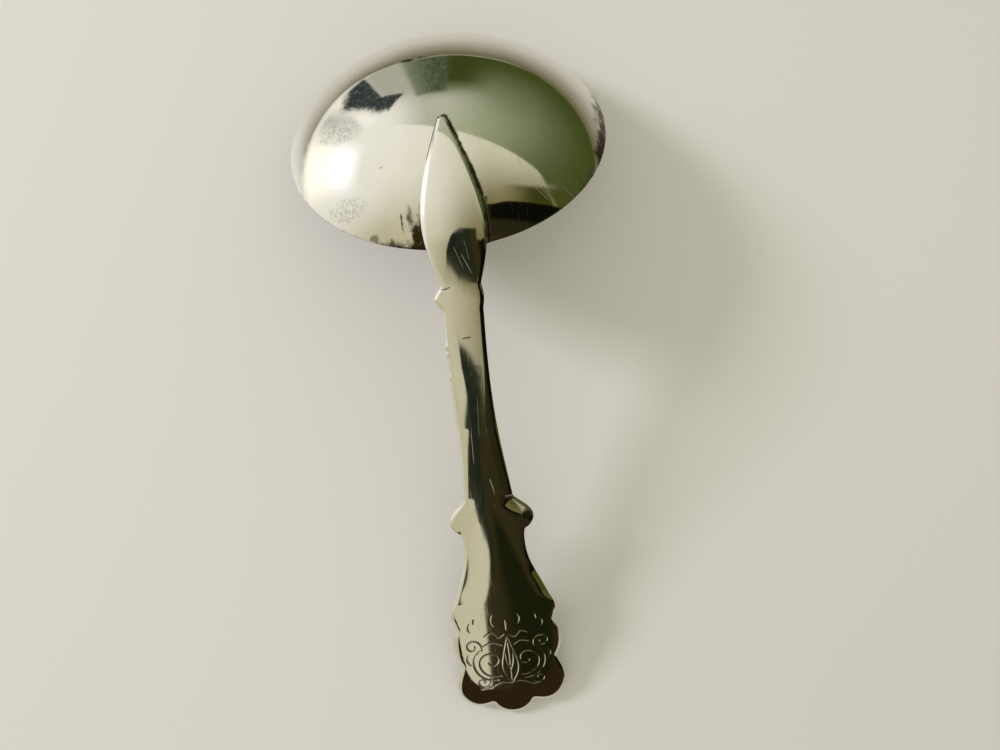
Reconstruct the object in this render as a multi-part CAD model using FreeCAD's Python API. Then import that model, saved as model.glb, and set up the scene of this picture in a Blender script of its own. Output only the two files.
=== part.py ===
"""Silver caddy spoon: a wide oval bowl and a short scalloped handle soldered to its back.

The spoon lies face down, as it rests: on the front of the bowl's rim and on the handle's end.
Millimetres. X runs across, +Y towards the bowl's front, +Z up. The origin is at the middle of
the outline, at the height of what the spoon lies on.
"""

import FreeCAD, Part
import os
from math import asin, atan2, cos, degrees, hypot, radians, sin, sqrt, tan

from FreeCAD import Vector

# Bowl: the cap of an ellipsoid, cut off at its rim
BOWL_WIDTH = 41.4
BOWL_LENGTH = 37.15
BOWL_DEPTH = 10.2
BOWL_WALL = 0.8
RIM_SHARE = 0.888
RIM_BEVEL = 0.28
BOWL_TILT = radians(29.3)

# Handle: sizes along it, from the scalloped end or back from the tongue's tip
HANDLE_LENGTH = 78.1
TIP_BEHIND_BOWL_CENTRE = 0.9
TONGUE_LENGTH = 19.6
TONGUE_WIDEST_FROM_TIP = 12.7
SHOULDER_LENGTH = 2.6
EAR_FROM_END = 28.9
EAR_TOP_LENGTH = 3.1
EAR_HOOK_LENGTH = 1.5
WAIST_BELOW_EAR = 3.5

# Handle: sizes across it
TONGUE_WIDTH = 7.6
TONGUE_TIP_WIDTH = 1.1
NECK_WIDTH = 4.7
SHOULDER_WIDTH = 6.1
STEM_WIDTH = 4.85
STEM_FOOT_WIDTH = 6.3
EAR_SPAN = 11.0
EAR_HOOK_WIDTH = 8.4
WAIST_WIDTH = 8.0
FLARE_WIDTH = 12.6

# Scalloped terminal: a lobe at the end, then three lobes up each side with notches between
TERMINAL_WIDTH = 14.9
UPPER_LOBE_SPAN = 14.0
NOTCH_DEPTH = 1.0
END_LOBE_WIDTH = 5.7
END_LOBE_DEPTH = 1.9
CORNER_LOBE_LENGTH = 6.4
MIDDLE_LOBE_LENGTH = 5.4
UPPER_LOBE_LENGTH = 3.8

# Handle: thicknesses, measured upright, the crown of its back, the bevel along its edge and
# how much the front of its end is worn flat where it rests
END_THICKNESS = 1.45
WAIST_THICKNESS = 1.7
STEM_THICKNESS = 2.2
NECK_THICKNESS = 2.45
TIP_THICKNESS = 0.5
NECK_RADIUS = 29.4
TERMINAL_CROWN_RADIUS = 90.0
EAR_CROWN_RADIUS = 18.0
STEM_CROWN_RADIUS = 6.0
TONGUE_CROWN_RADIUS = 12.0
BACK_EDGE_BEVEL = 0.35
END_WEAR = 0.4
CORNER_ROUNDING = 0.5
SOLDER_FILM = 0.03

# The ellipsoid that the bowl is a cap of
ACROSS = BOWL_WIDTH / 2 / RIM_SHARE
ALONG = BOWL_LENGTH / 2 / RIM_SHARE
UP = BOWL_DEPTH / (1 - sqrt(1 - RIM_SHARE ** 2))
RIM_OVER_CENTRE = UP - BOWL_DEPTH

# Places that follow, with the rim's middle over y = 0 until the origin is moved at the end
RIM_FRONT_Y = BOWL_LENGTH / 2 * cos(BOWL_TILT)
RIM_BACK_Y = -RIM_FRONT_Y
RIM_LIFT = RIM_BEVEL * sin(BOWL_TILT)
RIM_MIDDLE_Z = BOWL_LENGTH / 2 * sin(BOWL_TILT) - RIM_LIFT
RIM_BACK_Z = 2 * RIM_MIDDLE_Z + RIM_LIFT
TIP_Y = -TIP_BEHIND_BOWL_CENTRE
END_Y = TIP_Y - HANDLE_LENGTH
MIDDLE_Y = (RIM_FRONT_Y + END_Y) / 2
TERMINAL_LENGTH = END_LOBE_DEPTH + CORNER_LOBE_LENGTH + MIDDLE_LOBE_LENGTH + UPPER_LOBE_LENGTH
WAIST_FROM_END = EAR_FROM_END - WAIST_BELOW_EAR
NOTCH_FROM_END = HANDLE_LENGTH - TONGUE_LENGTH
CLEAR = 30.0
BLANK_MARGIN = 1.0
SECTION_COUNT = 19


def set_bowl_down(shape):
    """Move a shape from the ellipsoid's own axes to the resting pose, rim tilted."""
    shape.translate(Vector(0, 0, -RIM_OVER_CENTRE))
    shape.rotate(Vector(0, 0, 0), Vector(1, 0, 0), -degrees(BOWL_TILT))
    shape.translate(Vector(0, 0, RIM_MIDDLE_Z))
    return shape


def ellipsoid(grown):
    """The bowl's own ellipsoid at zero, larger all round by grown, with its poles at the sides."""
    ball = Part.makeSphere(1.0)
    ball.rotate(Vector(0, 0, 0), Vector(0, 1, 0), 90)
    stretch = FreeCAD.Matrix()
    stretch.scale(ACROSS + grown, ALONG + grown, UP + grown)
    return ball.transformGeometry(stretch)


def make_bowl():
    """One raised sheet: two ellipsoids a wall apart, cut at the rim, with the rim's edges bevelled."""
    shell = ellipsoid(0).cut(ellipsoid(-BOWL_WALL))
    corner = Vector(-CLEAR, -CLEAR, RIM_OVER_CENTRE - 2 * CLEAR)
    below = Part.makeBox(2 * CLEAR, 2 * CLEAR, 2 * CLEAR, corner)
    cap = shell.cut(below)
    rim = [edge for edge in cap.Edges if abs(edge.BoundBox.ZMax - RIM_OVER_CENTRE) < 0.01]
    return set_bowl_down(cap.makeChamfer(RIM_BEVEL, rim))


def dome_height(y):
    """Height of the bowl's outside on the spoon's centre line."""
    s = sin(BOWL_TILT)
    c = cos(BOWL_TILT)
    dy = y + RIM_OVER_CENTRE * s
    square = (s / ALONG) ** 2 + (c / UP) ** 2
    cross = dy * s * c * (1 / UP ** 2 - 1 / ALONG ** 2)
    rest = dy ** 2 * ((c / ALONG) ** 2 + (s / UP) ** 2) - 1
    rise = (-cross + sqrt(cross ** 2 - square * rest)) / square
    return RIM_MIDDLE_Z - RIM_OVER_CENTRE * c + rise


def neck_arc():
    """Centre of the neck's arc, which passes over the tongue's tip and the bowl's back rim."""
    tip_z = dome_height(TIP_Y) + TIP_THICKNESS
    rim_z = RIM_BACK_Z + NECK_THICKNESS
    chord = hypot(TIP_Y - RIM_BACK_Y, tip_z - rim_z)
    drop = sqrt(NECK_RADIUS ** 2 - (chord / 2) ** 2)
    lean = atan2(tip_z - rim_z, TIP_Y - RIM_BACK_Y)
    centre_y = (TIP_Y + RIM_BACK_Y) / 2 + drop * sin(lean)
    centre_z = (tip_z + rim_z) / 2 - drop * cos(lean)
    return centre_y, centre_z


ARC_Y, ARC_Z = neck_arc()
HANDLE_SLOPE = atan2(ARC_Z - END_THICKNESS, ARC_Y - END_Y) + asin(
    NECK_RADIUS / hypot(ARC_Y - END_Y, ARC_Z - END_THICKNESS))
ARC_START_Y = ARC_Y - NECK_RADIUS * sin(HANDLE_SLOPE)


def back_height(y):
    """Height of the handle's back on its centre line: straight, then the neck's tangent arc."""
    if y < ARC_START_Y:
        return END_THICKNESS + (y - END_Y) * tan(HANDLE_SLOPE)
    return ARC_Z + sqrt(NECK_RADIUS ** 2 - (y - ARC_Y) ** 2)


def at(half_width, from_end):
    """A point of the handle's outline, half a width out and so far from the scalloped end."""
    return Vector(half_width, END_Y + from_end, 0)


def curve(points, start=None, finish=None):
    """A smooth curve through a few points, with the directions of its two ends where given."""
    spline = Part.BSplineCurve()
    if start is None:
        spline.interpolate(points)
    else:
        spline.interpolate(Points=points, InitialTangent=start, FinalTangent=finish)
    return spline.toShape()


def arc(first, middle, last):
    """A round stretch through three points."""
    return Part.Arc(first, middle, last).toShape()


def terminal_side():
    """One side of the scalloped terminal, from the end lobe up to where the flare starts."""
    lobe = TERMINAL_WIDTH / 2
    notch = lobe - NOTCH_DEPTH
    start = END_LOBE_DEPTH
    second = start + CORNER_LOBE_LENGTH
    third = second + MIDDLE_LOBE_LENGTH
    corner = curve([
        at(END_LOBE_WIDTH / 2, start),
        at((END_LOBE_WIDTH / 2 + lobe) / 2, start - 0.3),
        at(lobe - 0.3, start + 0.22 * CORNER_LOBE_LENGTH),
        at(lobe, start + 0.5 * CORNER_LOBE_LENGTH),
        at(notch, second)])
    middle = arc(at(notch, second), at(lobe, second + 0.45 * MIDDLE_LOBE_LENGTH), at(notch, third))
    upper = arc(
        at(notch, third),
        at(UPPER_LOBE_SPAN / 2, third + 0.4 * UPPER_LOBE_LENGTH),
        at(FLARE_WIDTH / 2, TERMINAL_LENGTH))
    return [corner, middle, upper]


def waist_side():
    """One side of the waist, sweeping in from the flare and up to the hook under the ear."""
    hook = at(EAR_HOOK_WIDTH / 2, EAR_FROM_END - EAR_HOOK_LENGTH)
    sweep = curve(
        [at(FLARE_WIDTH / 2, TERMINAL_LENGTH), at(WAIST_WIDTH / 2, WAIST_FROM_END)],
        Vector(-0.5, 1, 0), Vector(0, 1, 0))
    rise = curve([at(WAIST_WIDTH / 2, WAIST_FROM_END), hook], Vector(0, 1, 0), Vector(0.3, 1, 0))
    return [sweep, rise]


def ear_side():
    """One ear: a rounded nub with a slanted top, hooked back underneath."""
    points = [
        at(EAR_HOOK_WIDTH / 2, EAR_FROM_END - EAR_HOOK_LENGTH),
        at(EAR_SPAN / 2, EAR_FROM_END),
        at(STEM_FOOT_WIDTH / 2, EAR_FROM_END + EAR_TOP_LENGTH)]
    return [curve(points, Vector(1, 0.1, 0), Vector(-0.8, 1, 0))]


def stem_side():
    """One side of the stem, tapering up from its foot, and the shoulder's small swelling."""
    foot = EAR_FROM_END + EAR_TOP_LENGTH
    top = NOTCH_FROM_END - SHOULDER_LENGTH
    taper = curve([
        at(STEM_FOOT_WIDTH / 2, foot),
        at(0.7 * STEM_WIDTH / 2 + 0.3 * STEM_FOOT_WIDTH / 2, foot + 0.28 * (top - foot)),
        at(STEM_WIDTH / 2, foot + 0.65 * (top - foot)),
        at(STEM_WIDTH / 2, top)])
    shoulder = arc(
        at(STEM_WIDTH / 2, top),
        at(SHOULDER_WIDTH / 2, top + 0.55 * SHOULDER_LENGTH),
        at(NECK_WIDTH / 2, NOTCH_FROM_END))
    return [taper, shoulder]


def tongue_side():
    """One side of the leaf-shaped tongue, from the neck out to its widest and in to the tip."""
    widest = HANDLE_LENGTH - TONGUE_WIDEST_FROM_TIP
    tip = TONGUE_TIP_WIDTH / 2
    half = TONGUE_WIDTH / 2
    return [curve([
        at(NECK_WIDTH / 2, NOTCH_FROM_END),
        at(0.35 * NECK_WIDTH / 2 + 0.65 * half, NOTCH_FROM_END + 0.48 * (widest - NOTCH_FROM_END)),
        at(half, widest),
        at(0.7 * half, HANDLE_LENGTH - 0.51 * TONGUE_WIDEST_FROM_TIP),
        at(tip, HANDLE_LENGTH - tip)])]


def outline():
    """The handle's outline seen from above, both sides, the end lobe and the rounded tip."""
    side = terminal_side() + waist_side() + ear_side() + stem_side() + tongue_side()
    other = [edge.mirror(Vector(0, 0, 0), Vector(1, 0, 0)) for edge in side]
    end = at(END_LOBE_WIDTH / 2, END_LOBE_DEPTH)
    end_lobe = arc(Vector(-end.x, end.y, 0), at(0, 0), end)
    tip = at(TONGUE_TIP_WIDTH / 2, HANDLE_LENGTH - TONGUE_TIP_WIDTH / 2)
    rounded_tip = arc(tip, at(0, HANDLE_LENGTH), Vector(-tip.x, tip.y, 0))
    return Part.Wire(Part.__sortEdges__(side + other + [end_lobe, rounded_tip]))


def front_curve_points():
    """The front face's line below the back, from the resting end to under the bowl's rim."""
    stem_y = (END_Y + EAR_FROM_END + END_Y + NOTCH_FROM_END) / 2
    waist_y = END_Y + WAIST_FROM_END
    stations = [
        (END_Y, END_THICKNESS + END_WEAR),
        (waist_y, WAIST_THICKNESS),
        (stem_y, STEM_THICKNESS),
        (RIM_BACK_Y, NECK_THICKNESS),
        (TIP_Y, NECK_THICKNESS + BOWL_WALL)]
    return [Vector(-CLEAR, y, back_height(y) - thickness) for y, thickness in stations]


def side_block():
    """Everything over the front face's line, as wide and high as needed."""
    points = front_curve_points()
    over = RIM_BACK_Z + CLEAR
    rest = Part.makePolygon([
        points[-1],
        Vector(-CLEAR, TIP_Y + CLEAR, points[-1].z),
        Vector(-CLEAR, TIP_Y + CLEAR, over),
        Vector(-CLEAR, END_Y - CLEAR, over),
        Vector(-CLEAR, END_Y - CLEAR, points[0].z),
        points[0]])
    face = Part.Face(Part.Wire([curve(points)] + rest.Edges))
    return face.extrude(Vector(2 * CLEAR, 0, 0))


def crowned_section(y, half_width, crown_radius):
    """An upright section of the back's rounding: an arc over a deep straight-sided block."""
    top = back_height(y)
    edge = top - crown_radius + sqrt(crown_radius ** 2 - half_width ** 2)
    foot = top - CLEAR
    crown = arc(Vector(-half_width, y, edge), Vector(0, y, top), Vector(half_width, y, edge))
    sides = Part.makePolygon([
        Vector(half_width, y, edge), Vector(half_width, y, foot),
        Vector(-half_width, y, foot), Vector(-half_width, y, edge)])
    return Part.Wire([crown] + sides.Edges)


def along(stations, y):
    """A value that is given at a few places along the spoon, and runs straight between them."""
    value = stations[0][1]
    for (start, low), (end, high) in zip(stations, stations[1:]):
        if y > start:
            value = low + (high - low) * min(1, (y - start) / (end - start))
    return value


def crowned_blank():
    """The rounded back: nearly flat at the terminal, strongly crowned along the stem."""
    flare_y = END_Y + TERMINAL_LENGTH
    ear_y = END_Y + EAR_FROM_END
    neck_y = END_Y + NOTCH_FROM_END
    stem_y = ear_y + (neck_y - ear_y) / 2
    half_widths = [
        (flare_y, TERMINAL_WIDTH / 2 + BLANK_MARGIN),
        (ear_y, EAR_SPAN / 2 + BLANK_MARGIN),
        (stem_y, SHOULDER_WIDTH / 2 + BLANK_MARGIN),
        (neck_y, SHOULDER_WIDTH / 2 + BLANK_MARGIN),
        (RIM_BACK_Y, TONGUE_WIDTH / 2 + BLANK_MARGIN)]
    crowns = [
        (flare_y, 1 / TERMINAL_CROWN_RADIUS),
        (ear_y, 1 / EAR_CROWN_RADIUS),
        (stem_y, 1 / STEM_CROWN_RADIUS),
        (neck_y, 1 / STEM_CROWN_RADIUS),
        (RIM_BACK_Y, 1 / TONGUE_CROWN_RADIUS)]
    first = END_Y - BLANK_MARGIN
    spacing = (TIP_Y + BLANK_MARGIN - first) / (SECTION_COUNT - 1)
    places = [first + spacing * number for number in range(SECTION_COUNT)]
    sections = [crowned_section(y, along(half_widths, y), 1 / along(crowns, y)) for y in places]
    return Part.makeLoft(sections, True, False)


def corner_points():
    """Where two stretches of the outline meet at a corner, one side of the handle."""
    notch = TERMINAL_WIDTH / 2 - NOTCH_DEPTH
    second = END_LOBE_DEPTH + CORNER_LOBE_LENGTH
    return [
        at(END_LOBE_WIDTH / 2, END_LOBE_DEPTH),
        at(notch, second),
        at(notch, second + MIDDLE_LOBE_LENGTH),
        at(FLARE_WIDTH / 2, TERMINAL_LENGTH),
        at(EAR_HOOK_WIDTH / 2, EAR_FROM_END - EAR_HOOK_LENGTH),
        at(STEM_FOOT_WIDTH / 2, EAR_FROM_END + EAR_TOP_LENGTH),
        at(STEM_WIDTH / 2, NOTCH_FROM_END - SHOULDER_LENGTH),
        at(NECK_WIDTH / 2, NOTCH_FROM_END),
        at(TONGUE_TIP_WIDTH / 2, HANDLE_LENGTH - TONGUE_TIP_WIDTH / 2)]


def stands_on_corner(edge):
    """Whether an edge of the outline block stands upright on one of the outline's corners."""
    middle = edge.CenterOfMass
    return any(hypot(abs(middle.x) - corner.x, middle.y - corner.y) < 0.01 for corner in corner_points())


def outline_block():
    """The outline carried up through everything, with its notches and corners eased."""
    plan = Part.Face(outline())
    plan.translate(Vector(0, 0, -CLEAR))
    block = plan.extrude(Vector(0, 0, 3 * CLEAR))
    corners = [edge for edge in block.Edges if stands_on_corner(edge)]
    return block.makeFillet(CORNER_ROUNDING, corners)


def bevelled_blank():
    """The outline cut from the crowned blank, its edge bevelled all round the back."""
    blank = outline_block().common(crowned_blank())
    back = max(blank.Faces, key=lambda face: face.CenterOfMass.z)
    return blank.makeChamfer(BACK_EDGE_BEVEL, back.OuterWire.Edges)


def make_handle():
    """The outline cut from a crowned blank, thinned from the front, worn flat where its end
    rests, and seated on the bowl."""
    seat = set_bowl_down(ellipsoid(SOLDER_FILM))
    reach = HANDLE_LENGTH + 2 * CLEAR
    worn_off = Part.makeBox(2 * CLEAR, reach, CLEAR, Vector(-CLEAR, END_Y - CLEAR, -CLEAR))
    return bevelled_blank().common(side_block()).cut(seat).cut(worn_off)


def write(name, shape):
    """Move a piece so that the outline's middle is the origin, and write it as one STEP file."""
    shape.translate(Vector(0, -MIDDLE_Y, 0))
    solid = shape.Solids[0]
    box = solid.optimalBoundingBox()
    print(name, len(shape.Solids), solid.isValid(), round(solid.Volume, 2), box)
    solid.exportStep(os.path.join("parts", name + ".step"))


os.makedirs("parts", exist_ok=True)
write("bowl", make_bowl())
write("handle", make_handle())
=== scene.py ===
"""Silver caddy spoon lying face down: polished, worn and engraved, on a pale floor.

Shapes are worked out in millimetres, in the spoon's own frame, and made as meshes in metres.
X runs across, +Y towards the bowl's front, +Z up.
"""

from math import acos, asin, atan2, cos, degrees, hypot, pi, radians, sin, sqrt, tan

import bpy
import numpy as np
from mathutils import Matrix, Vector
from mathutils.geometry import delaunay_2d_cdt
from mathutils.kdtree import KDTree


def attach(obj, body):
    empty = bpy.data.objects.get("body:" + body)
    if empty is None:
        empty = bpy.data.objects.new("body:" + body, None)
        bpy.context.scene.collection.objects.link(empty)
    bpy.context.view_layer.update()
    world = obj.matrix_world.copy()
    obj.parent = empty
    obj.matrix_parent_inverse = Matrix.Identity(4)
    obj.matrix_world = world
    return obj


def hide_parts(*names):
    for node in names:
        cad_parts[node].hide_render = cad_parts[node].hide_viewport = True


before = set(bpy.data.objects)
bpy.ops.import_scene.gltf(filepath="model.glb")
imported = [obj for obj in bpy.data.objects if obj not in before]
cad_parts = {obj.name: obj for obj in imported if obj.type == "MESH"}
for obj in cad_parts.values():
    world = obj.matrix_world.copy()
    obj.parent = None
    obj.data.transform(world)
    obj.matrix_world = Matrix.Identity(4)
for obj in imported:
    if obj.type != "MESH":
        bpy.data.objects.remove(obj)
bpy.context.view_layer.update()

MM = 0.001
BODY = "root"

# Bowl: the cap of an ellipsoid, tilted so that its rim's front and the handle's end touch down
BOWL_WIDTH = 41.4
BOWL_LENGTH = 37.15
BOWL_DEPTH = 10.2
BOWL_WALL = 0.8
RIM_SHARE = 0.888
RIM_BEVEL = 0.28
RIM_SOFTNESS = 0.3
BOWL_TILT = radians(29.3)

# Handle: sizes along it, from the scalloped end or back from the tongue's tip
HANDLE_LENGTH = 78.1
TIP_BEHIND_BOWL_CENTRE = 0.9
TONGUE_LENGTH = 19.6
TONGUE_WIDEST_FROM_TIP = 12.7
SHOULDER_LENGTH = 2.6
EAR_FROM_END = 28.9
EAR_TOP_LENGTH = 3.1
EAR_HOOK_LENGTH = 1.5
WAIST_BELOW_EAR = 3.5

# Handle: sizes across it
TONGUE_WIDTH = 7.6
TONGUE_TIP_WIDTH = 1.1
NECK_WIDTH = 4.7
SHOULDER_WIDTH = 6.1
STEM_WIDTH = 4.85
STEM_FOOT_WIDTH = 6.3
EAR_SPAN = 11.0
EAR_HOOK_WIDTH = 8.4
WAIST_WIDTH = 8.0
FLARE_WIDTH = 12.6
TERMINAL_WIDTH = 14.9
UPPER_LOBE_SPAN = 14.0
NOTCH_DEPTH = 1.0
END_LOBE_WIDTH = 5.7
END_LOBE_DEPTH = 1.9
CORNER_LOBE_LENGTH = 6.4
MIDDLE_LOBE_LENGTH = 5.4
UPPER_LOBE_LENGTH = 3.8

# Handle: thicknesses measured upright, the neck's arc, the crown of the back and the solder
END_THICKNESS = 1.45
END_WEAR = 0.4
WAIST_THICKNESS = 1.7
STEM_THICKNESS = 2.2
NECK_THICKNESS = 2.45
TIP_THICKNESS = 0.5
NECK_RADIUS = 29.4
TERMINAL_CROWN_RADIUS = 90.0
EAR_CROWN_RADIUS = 18.0
STEM_CROWN_RADIUS = 7.0
UPPER_STEM_CROWN_RADIUS = 16.0
NECK_CROWN_RADIUS = 24.0
TONGUE_CROWN_RADIUS = 15.0
SOLDER_FILM = 0.03
BEAD_RADIUS = 0.075
BEAD_UNEVENNESS = 0.7
BEAD_LUMPS_PER_METRE = 900.0

# Worn edges of the handle's back and its flat engraved field, measured from the end
STEM_BEVEL = 0.34
NECK_BEVEL = 0.24
TONGUE_BEVEL = 0.55
TERMINAL_BEVEL = 0.42
BEVEL_SLOPE = 0.58
EDGE_SOFTNESS = 0.12
FIELD_HALF_WIDTH = 6.15
FIELD_TOP_FROM_END = 12.8
FIELD_END_FROM_END = 4.2
FIELD_SIDE_FALL = 0.5
FIELD_END_FALL = 0.17
FIELD_SOFTNESS = 0.45
CORNER_EASING = 0.18

# How far the stem bows to the left, and its right shoulder, worn smaller than the left one
STEM_BOW = 0.42
RIGHT_SHOULDER_WIDTH = 5.2

# The right ear's hollow flank: the cone that it follows, its slope, its top and its left limit
EAR_FLAT_PLACE = (6.2, 35.8)
EAR_FLAT_RADIUS = 6.85
EAR_FLAT_SLOPE = 0.31
EAR_FLAT_TOP = 32.2
EAR_FLAT_LEFT = 1.5

# The left ear falls off to its side from here, and the right edge of the flare is worn broader
LEFT_EAR_START = 1.95
LEFT_EAR_SLOPE = 0.09
FLARE_WEAR_WIDTH = 0.4
FLARE_WEAR_SLOPE = 0.12

# Engraved lines
GROOVE_HALF_WIDTH = 0.12
GROOVE_DEPTH = 0.06

# How closely the points of the meshes lie
OUTLINE_STEP = 0.05
ENGRAVED_STEP = 0.09
BACK_SPACING = 0.24
UNDERSIDE_SPACING = 0.6
UNDERSIDE_MARGIN = 0.4
RING_DISTANCES = [0.05, 0.11, 0.18, 0.26, 0.34, 0.42, 0.5, 0.62, 0.8, 1.05, 1.35]
WALL_LEVELS = [0.04, 0.12, 0.35, 0.65, 0.9, 0.98]
BOWL_GRID = 181
RIM_TURN = 0.0144
RIM_STEPS = [0.25, 0.5, 0.75, 1.0]

# Camera straight above the spoon, as far as the photograph shows it, and turned a little
CAMERA_PLACE = (3.26, -0.05, 106.85)
CAMERA_TURN = radians(-6.6)
CAMERA_LENS = 27.0
SENSOR_WIDTH = 36.0

# Places that follow from the sizes
ACROSS = BOWL_WIDTH / 2 / RIM_SHARE
ALONG = BOWL_LENGTH / 2 / RIM_SHARE
UP = BOWL_DEPTH / (1 - sqrt(1 - RIM_SHARE ** 2))
RIM_OVER_CENTRE = UP - BOWL_DEPTH
RIM_MIDDLE_Z = BOWL_LENGTH / 2 * sin(BOWL_TILT) - RIM_BEVEL * sin(BOWL_TILT)
RIM_BACK_Z = 2 * RIM_MIDDLE_Z + RIM_BEVEL * sin(BOWL_TILT)
TIP_FROM_RIM_MIDDLE = -TIP_BEHIND_BOWL_CENTRE
RIM_MIDDLE_Y = -(BOWL_LENGTH / 2 * cos(BOWL_TILT) + TIP_FROM_RIM_MIDDLE - HANDLE_LENGTH) / 2
RIM_BACK_Y = RIM_MIDDLE_Y - BOWL_LENGTH / 2 * cos(BOWL_TILT)
TIP_Y = RIM_MIDDLE_Y + TIP_FROM_RIM_MIDDLE
END_Y = TIP_Y - HANDLE_LENGTH
TERMINAL_LENGTH = END_LOBE_DEPTH + CORNER_LOBE_LENGTH + MIDDLE_LOBE_LENGTH + UPPER_LOBE_LENGTH
NOTCH_FROM_END = HANDLE_LENGTH - TONGUE_LENGTH


def soft_step(value, low, high):
    """0 below low, 1 above high, and smooth between."""
    share = np.clip((value - low) / (high - low), 0, 1)
    return share * share * (3 - 2 * share)


def dome_height(x, y, grown=0.0):
    """Height of the bowl's outside over a place, or far below where the ellipsoid isn't."""
    a = ACROSS + grown
    b = ALONG + grown
    c = UP + grown
    s = sin(BOWL_TILT)
    k = cos(BOWL_TILT)
    dy = y - RIM_MIDDLE_Y + RIM_OVER_CENTRE * s
    square = (s / b) ** 2 + (k / c) ** 2
    cross = dy * s * k * (1 / c ** 2 - 1 / b ** 2)
    rest = dy ** 2 * ((k / b) ** 2 + (s / c) ** 2) + (x / a) ** 2 - 1
    inside = cross ** 2 - square * rest
    rise = (-cross + np.sqrt(np.maximum(inside, 0))) / square
    return np.where(inside > 0, RIM_MIDDLE_Z - RIM_OVER_CENTRE * k + rise, -99.0)


def neck_arc():
    """Centre of the neck's arc, over the tongue's tip and the bowl's back rim."""
    tip_z = float(dome_height(0.0, TIP_Y)) + TIP_THICKNESS
    rim_z = RIM_BACK_Z + NECK_THICKNESS
    chord = hypot(TIP_Y - RIM_BACK_Y, tip_z - rim_z)
    drop = sqrt(NECK_RADIUS ** 2 - (chord / 2) ** 2)
    lean = atan2(tip_z - rim_z, TIP_Y - RIM_BACK_Y)
    return (TIP_Y + RIM_BACK_Y) / 2 + drop * sin(lean), (tip_z + rim_z) / 2 - drop * cos(lean)


ARC_Y, ARC_Z = neck_arc()
HANDLE_SLOPE = atan2(ARC_Z - END_THICKNESS, ARC_Y - END_Y) + asin(
    NECK_RADIUS / hypot(ARC_Y - END_Y, ARC_Z - END_THICKNESS))
ARC_START_Y = ARC_Y - NECK_RADIUS * sin(HANDLE_SLOPE)


def back_height(y):
    """Height of the handle's back on its centre line: straight, then the neck's arc."""
    straight = END_THICKNESS + (y - END_Y) * tan(HANDLE_SLOPE)
    bent = ARC_Z + np.sqrt(np.maximum(NECK_RADIUS ** 2 - (y - ARC_Y) ** 2, 0))
    return np.where(y < ARC_START_Y, straight, bent)


def front_height(y):
    """Height of the handle's front face, worn flat where the end rests."""
    stem_y = END_Y + (EAR_FROM_END + NOTCH_FROM_END) / 2
    places = [END_Y, END_Y + EAR_FROM_END - WAIST_BELOW_EAR, stem_y, RIM_BACK_Y, TIP_Y]
    depths = [END_THICKNESS + END_WEAR, WAIST_THICKNESS, STEM_THICKNESS, NECK_THICKNESS,
              NECK_THICKNESS + BOWL_WALL]
    return np.maximum(back_height(y) - np.interp(y, places, depths), 0)


def even_line(line, step):
    """The same line with its points evenly spaced."""
    gaps = np.hypot(*(line[1:] - line[:-1]).T)
    run = np.concatenate([[0], np.cumsum(gaps)])
    places = np.linspace(0, run[-1], int(run[-1] / step) + 1)
    return np.stack([np.interp(places, run, line[:, axis]) for axis in (0, 1)], 1)


def curve(points, start=None, finish=None):
    """A curve of least bend through a few points, with the directions of its ends where given."""
    p = np.array(points, float)
    gaps = np.hypot(*(p[1:] - p[:-1]).T)
    count = len(p)
    left = np.zeros((count, count))
    right = np.zeros((count, 2))
    for i in range(1, count - 1):
        before, after = gaps[i - 1], gaps[i]
        left[i, i - 1:i + 2] = after, 2 * (before + after), before
        right[i] = 3 * (after * (p[i] - p[i - 1]) / before + before * (p[i + 1] - p[i]) / after)
    for i, given, other, gap in ((0, start, 1, gaps[0]), (count - 1, finish, count - 2, gaps[-1])):
        left[i, i] = 1
        if given is None:
            left[i, i] = 2
            left[i, other] = 1
            right[i] = 3 * (p[max(i, other)] - p[min(i, other)]) / gap
        else:
            right[i] = np.array(given, float) / hypot(*given)
    slopes = np.linalg.solve(left, right)
    stretches = []
    for i, gap in enumerate(gaps):
        u = np.linspace(0, 1, max(2, int(gap / OUTLINE_STEP)), endpoint=False)[:, None]
        stretches.append(
            (2 * u ** 3 - 3 * u ** 2 + 1) * p[i] + (u ** 3 - 2 * u ** 2 + u) * gap * slopes[i]
            + (3 * u ** 2 - 2 * u ** 3) * p[i + 1] + (u ** 3 - u ** 2) * gap * slopes[i + 1])
    return np.vstack(stretches + [p[-1:]])


def arc(first, middle, last):
    """A round stretch through three points."""
    (ax, ay), (bx, by), (cx, cy) = first, middle, last
    twice = 2 * (ax * (by - cy) + bx * (cy - ay) + cx * (ay - by))
    squares = [px * px + py * py for px, py in (first, middle, last)]
    ux = (squares[0] * (by - cy) + squares[1] * (cy - ay) + squares[2] * (ay - by)) / twice
    uy = (squares[0] * (cx - bx) + squares[1] * (ax - cx) + squares[2] * (bx - ax)) / twice
    start = atan2(ay - uy, ax - ux)
    turn = (atan2(cy - uy, cx - ux) - start) % (2 * pi)
    if (atan2(by - uy, bx - ux) - start) % (2 * pi) > turn:
        turn -= 2 * pi
    radius = hypot(ax - ux, ay - uy)
    count = max(2, int(abs(turn) * radius / OUTLINE_STEP)) + 1
    angles = start + np.linspace(0, turn, count)
    return np.stack([ux + radius * np.cos(angles), uy + radius * np.sin(angles)], 1)


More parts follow.
